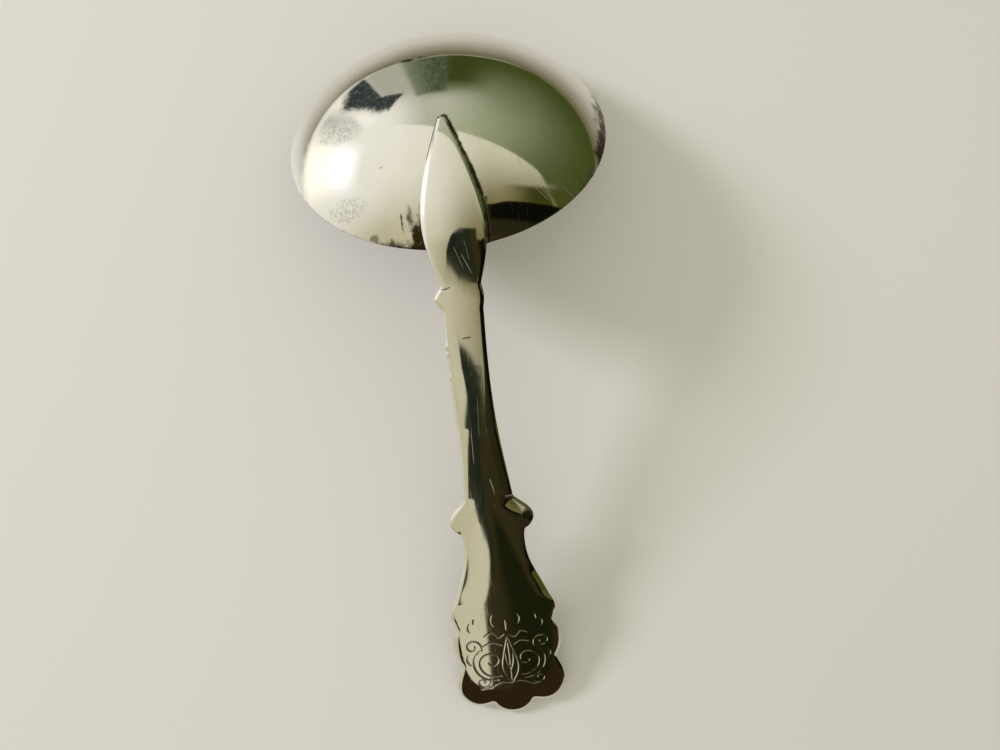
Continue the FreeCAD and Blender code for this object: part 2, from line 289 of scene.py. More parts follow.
def terminal_side():
    """One side of the scalloped terminal, as half widths and distances from the end."""
    lobe = TERMINAL_WIDTH / 2
    notch = lobe - NOTCH_DEPTH
    first = END_LOBE_DEPTH
    second = first + CORNER_LOBE_LENGTH
    third = second + MIDDLE_LOBE_LENGTH
    end_lobe = arc((-END_LOBE_WIDTH / 2, first), (0, 0), (END_LOBE_WIDTH / 2, first))
    corner = curve([
        (END_LOBE_WIDTH / 2, first),
        ((END_LOBE_WIDTH / 2 + lobe) / 2, first - 0.3),
        (lobe - 0.3, first + 0.22 * CORNER_LOBE_LENGTH),
        (lobe, first + 0.5 * CORNER_LOBE_LENGTH),
        (notch, second)])
    middle = arc((notch, second), (lobe, second + 0.45 * MIDDLE_LOBE_LENGTH), (notch, third))
    upper = arc((notch, third), (UPPER_LOBE_SPAN / 2, third + 0.4 * UPPER_LOBE_LENGTH),
                (FLARE_WIDTH / 2, TERMINAL_LENGTH))
    return [end_lobe[end_lobe[:, 0] >= 0], corner, middle, upper]


def waist_and_ear_side():
    """The waist, sweeping in from the flare and up to the ear's hook, and the ear."""
    hook = (EAR_HOOK_WIDTH / 2, EAR_FROM_END - EAR_HOOK_LENGTH)
    waist = (WAIST_WIDTH / 2, EAR_FROM_END - WAIST_BELOW_EAR)
    foot = (STEM_FOOT_WIDTH / 2, EAR_FROM_END + EAR_TOP_LENGTH)
    return [
        curve([(FLARE_WIDTH / 2, TERMINAL_LENGTH), waist], (-0.5, 1), (0, 1)),
        curve([waist, hook], (0, 1), (0.3, 1)),
        curve([hook, (EAR_SPAN / 2, EAR_FROM_END), foot], (1, 0.1), (-0.8, 1))]


def stem_side(shoulder_width):
    """The stem, tapering up from its foot, and the shoulder's small swelling."""
    foot = EAR_FROM_END + EAR_TOP_LENGTH
    top = NOTCH_FROM_END - SHOULDER_LENGTH
    taper = curve([
        (STEM_FOOT_WIDTH / 2, foot),
        (0.7 * STEM_WIDTH / 2 + 0.3 * STEM_FOOT_WIDTH / 2, foot + 0.28 * (top - foot)),
        (STEM_WIDTH / 2, foot + 0.65 * (top - foot)),
        (STEM_WIDTH / 2, top)])
    shoulder = arc((STEM_WIDTH / 2, top), (shoulder_width / 2, top + 0.55 * SHOULDER_LENGTH),
                   (NECK_WIDTH / 2, NOTCH_FROM_END))
    return [taper, shoulder]


def tongue_side():
    """The leaf-shaped tongue, from the neck out to its widest and in to its rounded tip."""
    widest = HANDLE_LENGTH - TONGUE_WIDEST_FROM_TIP
    tip = TONGUE_TIP_WIDTH / 2
    half = TONGUE_WIDTH / 2
    leaf = curve([
        (NECK_WIDTH / 2, NOTCH_FROM_END),
        (0.35 * NECK_WIDTH / 2 + 0.65 * half, NOTCH_FROM_END + 0.48 * (widest - NOTCH_FROM_END)),
        (half, widest),
        (0.7 * half, HANDLE_LENGTH - 0.51 * TONGUE_WIDEST_FROM_TIP),
        (tip, HANDLE_LENGTH - tip)])
    round_tip = arc((tip, HANDLE_LENGTH - tip), (0, HANDLE_LENGTH), (-tip, HANDLE_LENGTH - tip))
    return [leaf, round_tip[round_tip[:, 0] >= 0]]


def eased(line):
    """An evenly spaced half outline with its corners worn round."""
    reach = int(4 * CORNER_EASING / OUTLINE_STEP)
    mirror = np.array([-1, 1])
    longer = np.vstack([line[reach:0:-1] * mirror, line, line[-2:-reach - 2:-1] * mirror])
    weights = np.exp(-0.5 * (np.arange(-reach, reach + 1) * OUTLINE_STEP / CORNER_EASING) ** 2)
    weights /= weights.sum()
    return np.stack([np.convolve(longer[:, axis], weights, "valid") for axis in (0, 1)], 1)


# Small bumps on the two edges: place from the end, length along the edge and height
LEFT_BUMPS = [
    (57.2, 0.55, 0.3), (51.6, 0.45, 0.22), (50.7, 0.3, 0.14), (47.9, 0.3, 0.12), (20.8, 3.6, 0.3)]
RIGHT_BUMPS = [(19.6, 3.4, 0.34)]


def bow(from_end):
    """How far the stem's middle line lies to the left, at distances from the end."""
    share = np.clip((from_end - EAR_FROM_END - 1.5) / (NOTCH_FROM_END + 3.0 - EAR_FROM_END), 0, 1)
    return STEM_BOW * np.sin(pi * share) ** 2


def half_outline(shoulder_width):
    """One worn side of the handle, from the end's middle to the tongue's tip."""
    stretches = terminal_side() + waist_and_ear_side() + stem_side(shoulder_width) + tongue_side()
    half = eased(even_line(np.vstack(stretches), OUTLINE_STEP))[::2]
    half[0, 0] = 0
    half[-1, 0] = 0
    return half


def handle_outline():
    """The handle's whole outline seen from above, anticlockwise from the end's middle."""
    right = half_outline(RIGHT_SHOULDER_WIDTH)
    left = half_outline(SHOULDER_WIDTH)[-2:0:-1] * np.array([-1, 1])
    for place, length, height in LEFT_BUMPS:
        left[:, 0] -= height * np.exp(-((left[:, 1] - place) / length) ** 2)
    for place, length, height in RIGHT_BUMPS:
        right[:, 0] += height * np.exp(-((right[:, 1] - place) / length) ** 2)
    every = np.vstack([right, left])
    every[:, 0] -= bow(every[:, 1])
    return every + np.array([0, END_Y])


OUTLINE = handle_outline()


def outline_tree():
    """A search tree of the outline's points."""
    tree = KDTree(len(OUTLINE))
    for number, (x, y) in enumerate(OUTLINE):
        tree.insert((x, y, 0), number)
    tree.balance()
    return tree


OUTLINE_TREE = outline_tree()


def edge_distance(points):
    """How far each point in plan lies from the handle's outline."""
    count = len(OUTLINE)
    nearest = np.array([OUTLINE_TREE.find((x, y, 0))[1] for x, y in points])
    best = np.full(len(points), 1e9)
    for other in (-1, 1):
        a = OUTLINE[nearest]
        b = OUTLINE[(nearest + other) % count]
        along = np.clip(((points - a) * (b - a)).sum(1) / ((b - a) ** 2).sum(1), 0, 1)
        best = np.minimum(best, np.hypot(*(points - a - along[:, None] * (b - a)).T))
    return best


def inside_outline(points):
    """Which points in plan lie inside the handle's outline."""
    x = points[:, 0]
    y = points[:, 1]
    inside = np.zeros(len(points), bool)
    ends = np.roll(OUTLINE, -1, 0)
    for (ax, ay), (bx, by) in zip(OUTLINE, ends):
        crosses = (ay > y) != (by > y)
        if crosses.any():
            inside ^= crosses & (x < (bx - ax) * (y - ay) / (by - ay + 1e-12) + ax)
    return inside


def scroll(centre, radius_out, radius_in, start, turn, count=90):
    """A spiral line from its outer end inwards, angles in degrees."""
    share = np.linspace(0, 1, count)
    radius = radius_out * (radius_in / radius_out) ** share
    angle = np.radians(start + turn * share)
    return np.stack([centre[0] + radius * np.cos(angle), centre[1] + radius * np.sin(angle)], 1)


def engraved(line, half_width):
    """A line given from the handle's end, evenly spaced and in its place, with its half width."""
    return even_line(line, ENGRAVED_STEP) + np.array([0, END_Y]), half_width


def ornament():
    """Engraved lines of the terminal's ornament: paired scrolls round a leaf, with ticks above.

    Each line is its points and its half width."""
    half_lines = [
        scroll((2.35, 8.6), 2.5, 0.5, 250, 430),
        scroll((2.35, 8.6), 2.95, 2.3, 262, 150),
        scroll((4.75, 11.0), 1.35, 0.35, 200, -400),
        scroll((3.9, 5.5), 1.15, 0.3, 160, 380),
        curve([(0.0, 5.0), (1.3, 5.3), (2.8, 4.7), (4.3, 4.4)]),
        curve([(0.0, 5.0), (1.05, 7.2), (0.75, 9.6), (0.0, 12.2)]),
        curve([(0.0, 7.0), (0.45, 8.4), (0.5, 9.6)]),
        curve([(0.35, 12.6), (1.2, 12.2), (1.9, 12.9), (2.9, 12.6)]),
        curve([(0.9, 11.0), (1.9, 11.5), (3.0, 11.2)]),
        curve([(5.3, 8.3), (5.7, 9.1), (5.5, 9.8)]),
        curve([(4.9, 13.4), (5.0, 14.0), (4.8, 14.5)]),
        curve([(4.2, 14.6), (4.1, 15.2)]),
        curve([(1.75, 14.1), (1.95, 14.8), (1.7, 15.5)])]
    lines = [curve([(0.0, 5.6), (0.0, 8.0), (0.0, 11.2)]), curve([(0.0, 13.3), (0.0, 14.6)])]
    for half in half_lines:
        lines.append(half)
        lines.append(half * np.array([-1, 1]))
    return [engraved(line, GROOVE_HALF_WIDTH) for line in lines]


def nicks():
    """Deeper marks elsewhere: the nick beside the shoulder and short scratches down the stem."""
    return [
        engraved(curve([(-2.7, 58.35), (-2.1, 58.2), (-1.5, 58.3)]), 0.14),
        engraved(curve([(-0.6, 52.35), (0.1, 52.4)]), 0.045),
        engraved(curve([(0.45, 34.4), (0.75, 32.6), (0.6, 31.0)]), 0.055)]


def stroke_samples(strokes):
    """All points of the strokes, each with its direction across and its half width there."""
    places = []
    across = []
    widths = []
    for line, width in strokes:
        ahead = np.gradient(line, axis=0)
        ahead /= np.hypot(*ahead.T)[:, None]
        swell = np.sin(np.linspace(0.12, pi - 0.12, len(line))) ** 0.6
        places.append(line)
        across.append(np.stack([-ahead[:, 1], ahead[:, 0]], 1))
        widths.append(width * (0.45 + 0.55 * swell))
    return np.vstack(places), np.vstack(across), np.concatenate(widths)


STROKES = stroke_samples(ornament() + nicks())


def groove_depth(points):
    """How deep the engraved lines are cut at each point in plan."""
    places = STROKES[0]
    widths = STROKES[2]
    depth = np.zeros(len(points))
    low = places.min(0) - 1
    high = places.max(0) + 1
    near = np.where(((points > low) & (points < high)).all(1))[0]
    for start in range(0, len(near), 2000):
        some = near[start:start + 2000]
        aside = points[some, None] - places[None]
        away = np.hypot(aside[:, :, 0], aside[:, :, 1])
        share = np.maximum(1 - away / widths[None], 0)
        cut = share * widths[None] / GROOVE_HALF_WIDTH * GROOVE_DEPTH
        depth[some] = cut.max(1)
    return depth


def crown_radius(y):
    """Radius of the back's crown across the handle: nearly flat at the terminal."""
    flare_y = END_Y + TERMINAL_LENGTH
    ear_y = END_Y + EAR_FROM_END
    neck_y = END_Y + NOTCH_FROM_END
    stem = neck_y - ear_y
    places = [flare_y, ear_y, ear_y + 0.42 * stem, ear_y + 0.68 * stem, neck_y, RIM_BACK_Y]
    radii = [TERMINAL_CROWN_RADIUS, EAR_CROWN_RADIUS, STEM_CROWN_RADIUS, UPPER_STEM_CROWN_RADIUS,
             NECK_CROWN_RADIUS, TONGUE_CROWN_RADIUS]
    bends = [1 / radius for radius in radii]
    return 1 / np.interp(y, places, bends)


def edge_bevel(from_end):
    """Width of the worn bevel: broad on the tongue, narrow at the neck."""
    neck = NOTCH_FROM_END
    rows = [
        (TERMINAL_LENGTH, TERMINAL_BEVEL), (EAR_FROM_END, STEM_BEVEL), (neck - 1, STEM_BEVEL),
        (neck + 0.8, NECK_BEVEL), (neck + 4.5, NECK_BEVEL), (neck + 9, TONGUE_BEVEL),
        (HANDLE_LENGTH - 8, TONGUE_BEVEL), (HANDLE_LENGTH, 0.4 * TONGUE_BEVEL)]
    places, widths = zip(*rows)
    return np.interp(from_end, places, widths)


def beyond_field(x, from_end):
    """How far a place lies outside the terminal's flat engraved field, which ends in a smooth U."""
    side = np.abs(x) / FIELD_HALF_WIDTH
    down = np.maximum(FIELD_TOP_FROM_END - from_end, 0) / (FIELD_TOP_FROM_END - FIELD_END_FROM_END)
    reach = (side ** 3 + down ** 4) ** 0.3
    up_stem = 1 - soft_step(from_end, 14.5, 16.5)
    return np.maximum(reach - 1, 0) * FIELD_HALF_WIDTH * up_stem


def stretch(from_end, start, full, fade, finish):
    """1 along a stretch of the handle, from full to fade, and smooth to 0 at start and finish."""
    return soft_step(from_end, start, full) * soft_step(-from_end, -finish, -fade)


def worn_down(over, softness):
    """How far a wearing face has come in, from 0 before it starts, with its start rounded."""
    return 0.5 * (over + np.sqrt(over ** 2 + softness ** 2))


def bevel_fall(x, from_end, distance):
    """How far the worn bevel drops the edge: broader right of the flare, crisper left of it."""
    worn_flare = stretch(from_end, 16.5, 18.5, 21.0, 23.5) * soft_step(x, 0.0, 1.0)
    crisp = stretch(from_end, 14.0, 16.0, 26.0, 28.0) * soft_step(-x, 0.0, 1.0)
    over = edge_bevel(from_end) + FLARE_WEAR_WIDTH * worn_flare - distance
    slope = BEVEL_SLOPE + FLARE_WEAR_SLOPE * worn_flare
    return slope * worn_down(over, EDGE_SOFTNESS * (1 - 0.6 * crisp))


def field_fall(x, from_end):
    """How far the terminal falls off outside its flat field, steeper at the sides than at the end."""
    beyond = beyond_field(x, from_end)
    fall = FIELD_END_FALL + (FIELD_SIDE_FALL - FIELD_END_FALL) * soft_step(from_end, 5.0, 9.0)
    return fall * (np.sqrt(beyond ** 2 + FIELD_SOFTNESS ** 2) - FIELD_SOFTNESS)


def left_ear_fall(x, from_end):
    """How far the left ear falls off to its side."""
    near_ear = stretch(from_end, 19.0, 29.0, 31.0, 32.3)
    return LEFT_EAR_SLOPE * near_ear * worn_down(-x - LEFT_EAR_START, EDGE_SOFTNESS)


def right_ear_fall(x, from_end):
    """How far the hollow flank cuts into the right ear."""
    into = EAR_FLAT_RADIUS - np.hypot(x - EAR_FLAT_PLACE[0], from_end - EAR_FLAT_PLACE[1])
    into = np.minimum(into, 3 * (EAR_FLAT_TOP - from_end))
    into = np.minimum(into, 1.2 * (x - EAR_FLAT_LEFT))
    return EAR_FLAT_SLOPE * worn_down(into, EDGE_SOFTNESS)


def handle_back(points, distance):
    """Height of the finished back: crown, rolled and bevelled edges, worn ears, and engraving."""
    y = points[:, 1]
    from_end = y - END_Y
    x = points[:, 0] + bow(from_end)
    radius = crown_radius(y)
    height = back_height(y) - radius + np.sqrt(radius ** 2 - x ** 2)
    height -= bevel_fall(x, from_end, distance) + field_fall(x, from_end)
    height -= left_ear_fall(x, from_end) + right_ear_fall(x, from_end)
    return height - groove_depth(points)


def handle_front(points):
    """Height of the handle's underside: its front face, or the bowl's back under the tongue."""
    seat = dome_height(points[:, 0], points[:, 1], SOLDER_FILM)
    return np.maximum(front_height(points[:, 1]), seat)


def outward_normals(loop):
    """The direction out of an anticlockwise loop at each of its points."""
    ahead = np.roll(loop, -1, 0) - np.roll(loop, 1, 0)
    ahead /= np.hypot(*ahead.T)[:, None]
    return np.stack([ahead[:, 1], -ahead[:, 0]], 1)


def ring_points():
    """Points in rows along the inside of the outline, where the edge's form changes fast."""
    out = outward_normals(OUTLINE)
    rows = []
    for distance in RING_DISTANCES:
        row = OUTLINE - out * distance
        clear = np.abs(edge_distance(row) - distance) < 0.015
        rows.append(row[clear & inside_outline(row)])
    return np.vstack(rows)


def grid_points(spacing, margin):
    """Evenly scattered points inside the outline, no nearer to it than the margin."""
    high = OUTLINE[:, 1].max()
    half = OUTLINE[:, 0].max()
    rows = np.arange(END_Y, high, spacing * sqrt(0.75))
    columns = np.arange(-half, half, spacing)
    shifts = [(number % 2) * spacing / 2 for number in range(len(rows))]
    points = np.array([(x + shift, y) for shift, y in zip(shifts, rows) for x in columns])
    points = points[inside_outline(points)]
    return points[edge_distance(points) > margin]


def engraved_points():
    """Points along both edges and the bottom of each engraved line."""
    places, across, widths = STROKES
    rows = [places]
    for side in (-1, 1):
        rows.append(places + side * across * widths[:, None])
        rows.append(places + side * across * (widths[:, None] + 0.07))
    points = np.vstack(rows)
    points = points[inside_outline(points)]
    return points[edge_distance(points) > 0.05]


def away_from(points, others, gap):
    """The points that lie further than a gap from all of the others."""
    tree = KDTree(len(others))
    for number, (x, y) in enumerate(others):
        tree.insert((x, y, 0), number)
    tree.balance()
    far = [tree.find((x, y, 0))[2] > gap for x, y in points]
    return points[np.array(far)]


def filled(points):
    """Triangles over the outline and the points inside it: all points, outline first, and faces."""
    every = np.vstack([OUTLINE, points])
    count = len(OUTLINE)
    rim = [(i, (i + 1) % count) for i in range(count)]
    made = delaunay_2d_cdt([Vector(p) for p in every], rim, [], 1, 1e-4)
    verts = np.array([tuple(v) for v in made[0]])
    origin = {}
    for new, old in enumerate(made[3]):
        for number in old:
            origin[number] = new
    loop = [origin[number] for number in range(count)]
    return verts, [list(face) for face in made[2]], loop


def handle_mesh():
    """Points and faces of the whole handle: back, underside and the walls between."""
    strokes = engraved_points()
    rings = away_from(ring_points(), strokes, 0.08)
    grid = away_from(grid_points(BACK_SPACING, RING_DISTANCES[-1] + 0.12), strokes, 0.13)
    back, back_faces, back_loop = filled(np.vstack([rings, strokes, grid]))
    distance = edge_distance(back)
    distance[back_loop] = 0
    back_z = handle_back(back, distance)
    under, under_faces, under_loop = filled(grid_points(UNDERSIDE_SPACING, UNDERSIDE_MARGIN))
    under_z = handle_front(under)
    points = [np.column_stack([back, back_z]), np.column_stack([under, under_z])]
    faces = list(back_faces)
    shift = len(back)
    faces += [[shift + i for i in reversed(face)] for face in under_faces]
    top = back_z[back_loop]
    bottom = np.minimum(under_z[under_loop], top - 0.05)
    points[1][under_loop, 2] = bottom
    edge = back[back_loop]
    count = len(edge)
    walls = [back_loop]
    shift += len(under)
    for share in WALL_LEVELS:
        points.append(np.column_stack([edge, top + (bottom - top) * share]))
        walls.append(list(range(shift, shift + count)))
        shift += count
    walls.append([len(back) + i for i in under_loop])
    for upper, lower in zip(walls, walls[1:]):
        for i in range(count):
            after = (i + 1) % count
            faces.append([upper[i], lower[i], lower[after], upper[after]])
    return np.vstack(points), faces


def to_model(local):
    """Points of the bowl's own axes, in the resting pose."""
    x, y, z = local.T
    z = z - RIM_OVER_CENTRE
    turned_y = y * cos(BOWL_TILT) + z * sin(BOWL_TILT)
    turned_z = z * cos(BOWL_TILT) - y * sin(BOWL_TILT)
    return np.column_stack([x, turned_y + RIM_MIDDLE_Y, turned_z + RIM_MIDDLE_Z])


def square_grid(count):
    """A square grid pulled round into a disc: points and the quads between them."""
    line = np.linspace(-1, 1, count)
    u, v = np.meshgrid(line, line)
    x = (u * np.sqrt(1 - v ** 2 / 2)).ravel()
    y = (v * np.sqrt(1 - u ** 2 / 2)).ravel()
    faces = []
    for row in range(count - 1):
        for column in range(count - 1):
            corner = row * count + column
            faces.append([corner, corner + 1, corner + count + 1, corner + count])
    last = count - 1
    loop = list(range(last))
    loop += [row * count + last for row in range(last)]
    loop += [last * count + column for column in range(last, 0, -1)]
    loop += [row * count for row in range(last, 0, -1)]
    return np.column_stack([x, y]), faces, loop


def cap_points(disc, grown, edge):
    """Points of the disc laid over the ellipsoid, out to an angle from its top."""
    share = np.hypot(*disc.T)
    angle = share * edge
    spread = np.where(share > 1e-9, np.sin(angle) / np.maximum(share, 1e-9), edge)
    x = (ACROSS + grown) * spread * disc[:, 0]
    y = (ALONG + grown) * spread * disc[:, 1]
    z = (UP + grown) * np.cos(angle)
    return np.column_stack([x, y, z])


# Shallow dents in the bowl's sheet: place in its own axes, radius and depth
DENTS = [
    (-3.2, -9.4, 1.5, 0.02), (5.6, 6.2, 2.2, 0.025), (-11.5, 2.0, 3.0, 0.04),
    (9.5, -4.0, 2.6, 0.03), (-7.0, -8.5, 2.0, 0.03), (1.5, 11.0, 2.4, 0.02)]


def dented(local):
    """The sheet pushed in a little where it is dented."""
    out = local / np.array([ACROSS, ALONG, UP]) ** 2
    out /= np.linalg.norm(out, axis=1)[:, None]
    for x, y, radius, depth in DENTS:
        away = np.hypot(local[:, 0] - x, local[:, 1] - y) / radius
        local = local - out * (depth * np.exp(-away ** 2))[:, None]
    return local


def bowl_mesh():
    """Points and faces of the bowl: outside, rounded rim and inside."""
    disc, quads, loop = square_grid(BOWL_GRID)
    rim = asin(RIM_SHARE)
    inner_rim = acos(RIM_OVER_CENTRE / (UP - BOWL_WALL))
    outer = cap_points(disc, 0, rim - RIM_TURN)
    inner = cap_points(disc, -BOWL_WALL, inner_rim - RIM_TURN)
    around = disc[loop] / np.hypot(*disc[loop].T)[:, None]
    outer_corner = cap_points(around, 0, rim)
    inner_corner = cap_points(around, -BOWL_WALL, inner_rim)
    across = inner_corner - outer_corner
    across /= np.linalg.norm(across, axis=1)[:, None]
    rows = []
    for corner, start, finish in (
            (outer_corner, outer[loop], outer_corner + across * RIM_BEVEL),
            (inner_corner, inner_corner - across * RIM_BEVEL * 0.6, inner[loop])):
        for share in RIM_STEPS:
            back = 1 - share
            middle = corner + (start + finish - 2 * corner) * RIM_SOFTNESS
            rows.append(back ** 2 * start + 2 * back * share * middle + share ** 2 * finish)
    points = np.vstack([outer, inner] + rows[:-1])
    size = len(disc)
    count = len(loop)
    faces = list(quads)
    faces += [[size + i for i in reversed(quad)] for quad in quads]
    rings = [loop]
    for number in range(len(rows) - 1):
        start = 2 * size + number * count
        rings.append(list(range(start, start + count)))
    rings.append([size + i for i in loop])
    for upper, lower in zip(rings, rings[1:]):
        for i in range(count):
            after = (i + 1) % count
            faces.append([upper[i], lower[i], lower[after], upper[after]])
    return to_model(dented(points)), faces


def seam_line():
    """The tongue's outline where it lies over the bowl, from one side round the tip."""
    local_z = dome_height(OUTLINE[:, 0], OUTLINE[:, 1])
    dy = OUTLINE[:, 1] - RIM_MIDDLE_Y
    over_rim = (local_z - RIM_MIDDLE_Z) * cos(BOWL_TILT) + dy * sin(BOWL_TILT)
    on_bowl = (over_rim > 0.15) & (OUTLINE[:, 1] > RIM_BACK_Y - 1)
    return OUTLINE[on_bowl], outward_normals(OUTLINE)[on_bowl]


def bead_tree(material):
    """Geometry nodes that lay an uneven bead along a line of edges."""
    tree = bpy.data.node_groups.new("solder bead", "GeometryNodeTree")
    tree.interface.new_socket("Line", in_out="INPUT", socket_type="NodeSocketGeometry")
    for name in ("Radius", "Unevenness", "Lumps per metre"):
        tree.interface.new_socket(name, in_out="INPUT", socket_type="NodeSocketFloat")
    tree.interface.new_socket("Bead", in_out="OUTPUT", socket_type="NodeSocketGeometry")
    given = node(tree, "NodeGroupInput").outputs
    lumps = node(tree, "ShaderNodeTexNoise", {"Scale": given["Lumps per metre"]}).outputs["Fac"]
    swell = plus(tree, times(tree, lumps, given["Unevenness"]), 1.0)
    radius = times(tree, swell, given["Radius"])
    line = node(tree, "GeometryNodeMeshToCurve", {0: given["Line"]}).outputs[0]
    section = node(tree, "GeometryNodeCurvePrimitiveCircle", {
        "Resolution": 10, "Radius": 1.0}).outputs["Curve"]
    bead = node(tree, "GeometryNodeCurveToMesh", {
        "Curve": line, "Profile Curve": section, "Scale": radius, "Fill Caps": True}).outputs[0]
    bead = node(tree, "GeometryNodeRealizeInstances", {0: bead}).outputs[0]
    bead = node(tree, "GeometryNodeSetMaterial", {"Geometry": bead, "Material": material}).outputs[0]
    node(tree, "NodeGroupOutput", {"Bead": bead})
    return tree


def seam_mesh(material):
    """A thin uneven bead of solder in the corner between the tongue and the bowl."""
    line, out = seam_line()
    place = line + out * BEAD_RADIUS * 0.4
    points = np.column_stack([place, dome_height(*place.T) + BEAD_RADIUS * 0.1]) * MM
    mesh = bpy.data.meshes.new("seam line")
    mesh.from_pydata(points.tolist(), [(i, i + 1) for i in range(len(points) - 1)], [])
    carrier = bpy.data.objects.new("seam line", mesh)
    bpy.context.scene.collection.objects.link(carrier)
    tree = bead_tree(material)
    modifier = carrier.modifiers.new("bead", "NODES")
    modifier.node_group = tree
    sizes = {
        "Radius": BEAD_RADIUS * MM,
        "Unevenness": BEAD_UNEVENNESS,
        "Lumps per metre": BEAD_LUMPS_PER_METRE}
    for socket in tree.interface.items_tree:
        if socket.in_out == "INPUT" and socket.name in sizes:
            modifier[socket.identifier] = sizes[socket.name]
    evaluated = carrier.evaluated_get(bpy.context.evaluated_depsgraph_get())
    made = bpy.data.meshes.new_from_object(evaluated)
    points = np.array([tuple(vertex.co) for vertex in made.vertices]) / MM
    faces = [list(polygon.vertices) for polygon in made.polygons]
    bpy.data.objects.remove(carrier)
    bpy.data.meshes.remove(made)
    return points, faces


def linear(red, green, blue):
    """A colour as the eye reads it, 0 to 255, as the shader wants it."""
    def part(value):
        share = value / 255
        return share / 12.92 if share <= 0.04045 else ((share + 0.055) / 1.055) ** 2.4
    return (part(red), part(green), part(blue), 1.0)


def node(tree, kind, inputs=None, **settings):
    """A new node with its settings, and its inputs given as values or linked from sockets."""
    made = tree.nodes.new(kind)
    for name, value in settings.items():
        setattr(made, name, value)
    for key, value in (inputs or {}).items():
        if isinstance(value, bpy.types.NodeSocket):
            tree.links.new(value, made.inputs[key])
        else:
            made.inputs[key].default_value = value
    return made


def maths(tree, operation, first, *others):
    """One kind of sum on a number or socket, or on several, from left to right."""
    total = first
    for other in others or (0.0,):
        total = node(tree, "ShaderNodeMath", {0: total, 1: other}, operation=operation).outputs[0]
    return total


def times(tree, *values):
    """The product of numbers or sockets."""
    return maths(tree, "MULTIPLY", *values)


def plus(tree, *values):
    """The total of numbers or sockets."""
    return maths(tree, "ADD", *values)


def minus(tree, first, second):
    """The first number or socket less the second."""
    return maths(tree, "SUBTRACT", first, second)


def larger(tree, *values):
    """The largest of numbers or sockets."""
    return maths(tree, "MAXIMUM", *values)


def smaller(tree, first, second, soft):
    """The smaller of two numbers, with the corner between them rounded."""
    return node(tree, "ShaderNodeMath", {0: first, 1: second, 2: soft}, operation="SMOOTH_MIN").outputs[0]


def vectors(tree, operation, first, second, output="Vector"):
    """One sum on two places or directions."""
    return node(tree, "ShaderNodeVectorMath", {0: first, 1: second}, operation=operation).outputs[output]


def step_up(tree, value, low, high):
    """0 below low, 1 above high, and smooth between."""
    made = node(tree, "ShaderNodeMapRange", {"Value": value, "From Min": low, "From Max": high},
                interpolation_type="SMOOTHSTEP")
    return made.outputs["Result"]


def between(tree, value, low, high, soft):
    """1 between low and high, falling off softly on both sides."""
    rise = step_up(tree, value, low - soft, low + soft)
    fall = step_up(tree, value, high + soft, high - soft)
    return times(tree, rise, fall)


def patch(tree, across, up):
    """1 within a patch that has two pairs of sides, each given as value, low, high and softness."""
    return times(tree, between(tree, *across), between(tree, *up))


def noise(tree, place, scale, detail, roughness, output="Fac"):
    """Cloudy noise."""
    return node(tree, "ShaderNodeTexNoise", {
        "Vector": place, "Scale": scale, "Detail": detail, "Roughness": roughness}).outputs[output]


def blend_colours(tree, share, first, second):
    """One colour turning into another."""
    made = node(tree, "ShaderNodeMix", {"Factor": share}, data_type="RGBA")
    for key, value in ((6, first), (7, second)):
        if isinstance(value, bpy.types.NodeSocket):
            tree.links.new(value, made.inputs[key])
        else:
            made.inputs[key].default_value = value
    return made.outputs[2]


def new_material(name):
    """An empty material with its tree, its Principled shader and object coordinates."""
    material = bpy.data.materials.new(name)
    material.use_nodes = True
    tree = material.node_tree
    shader = tree.nodes["Principled BSDF"]
    place = node(tree, "ShaderNodeTexCoord").outputs["Object"]
    return material, tree, shader, place


def fine_scratches(tree, place, turn, fine, long):
    """Thin lines in one direction, as many shallow scratches."""
    turned = node(tree, "ShaderNodeMapping", {
        "Vector": place, "Rotation": (0, 0, turn), "Scale": (fine, long, long)}).outputs[0]
    return step_up(tree, noise(tree, turned, 1.0, 2.0, 0.6), 0.62, 0.72)


def hairline(tree, place, start, finish, width):
    """1 along one straight fine scratch between two places in plan, in millimetres."""
    length = hypot(finish[0] - start[0], finish[1] - start[1])
    ahead = ((finish[0] - start[0]) / length, (finish[1] - start[1]) / length, 0)
    from_start = vectors(tree, "SUBTRACT", place, (start[0] * MM, start[1] * MM, 0))
    along = vectors(tree, "DOT_PRODUCT", from_start, ahead, "Value")
    across = vectors(tree, "DOT_PRODUCT", from_start, (-ahead[1], ahead[0], 0), "Value")
    near = step_up(tree, maths(tree, "ABSOLUTE", across), width * MM, width * MM * 0.3)
    inside = between(tree, along, 0.1 * length * MM, 0.9 * length * MM, 0.1 * length * MM)
    return times(tree, near, inside)


def hairlines(tree, place, lines):
    """All of a piece's single scratches together."""
    every = 0.0
    for start, finish, width in lines:
        every = larger(tree, hairline(tree, place, start, finish, width), every)
    return every


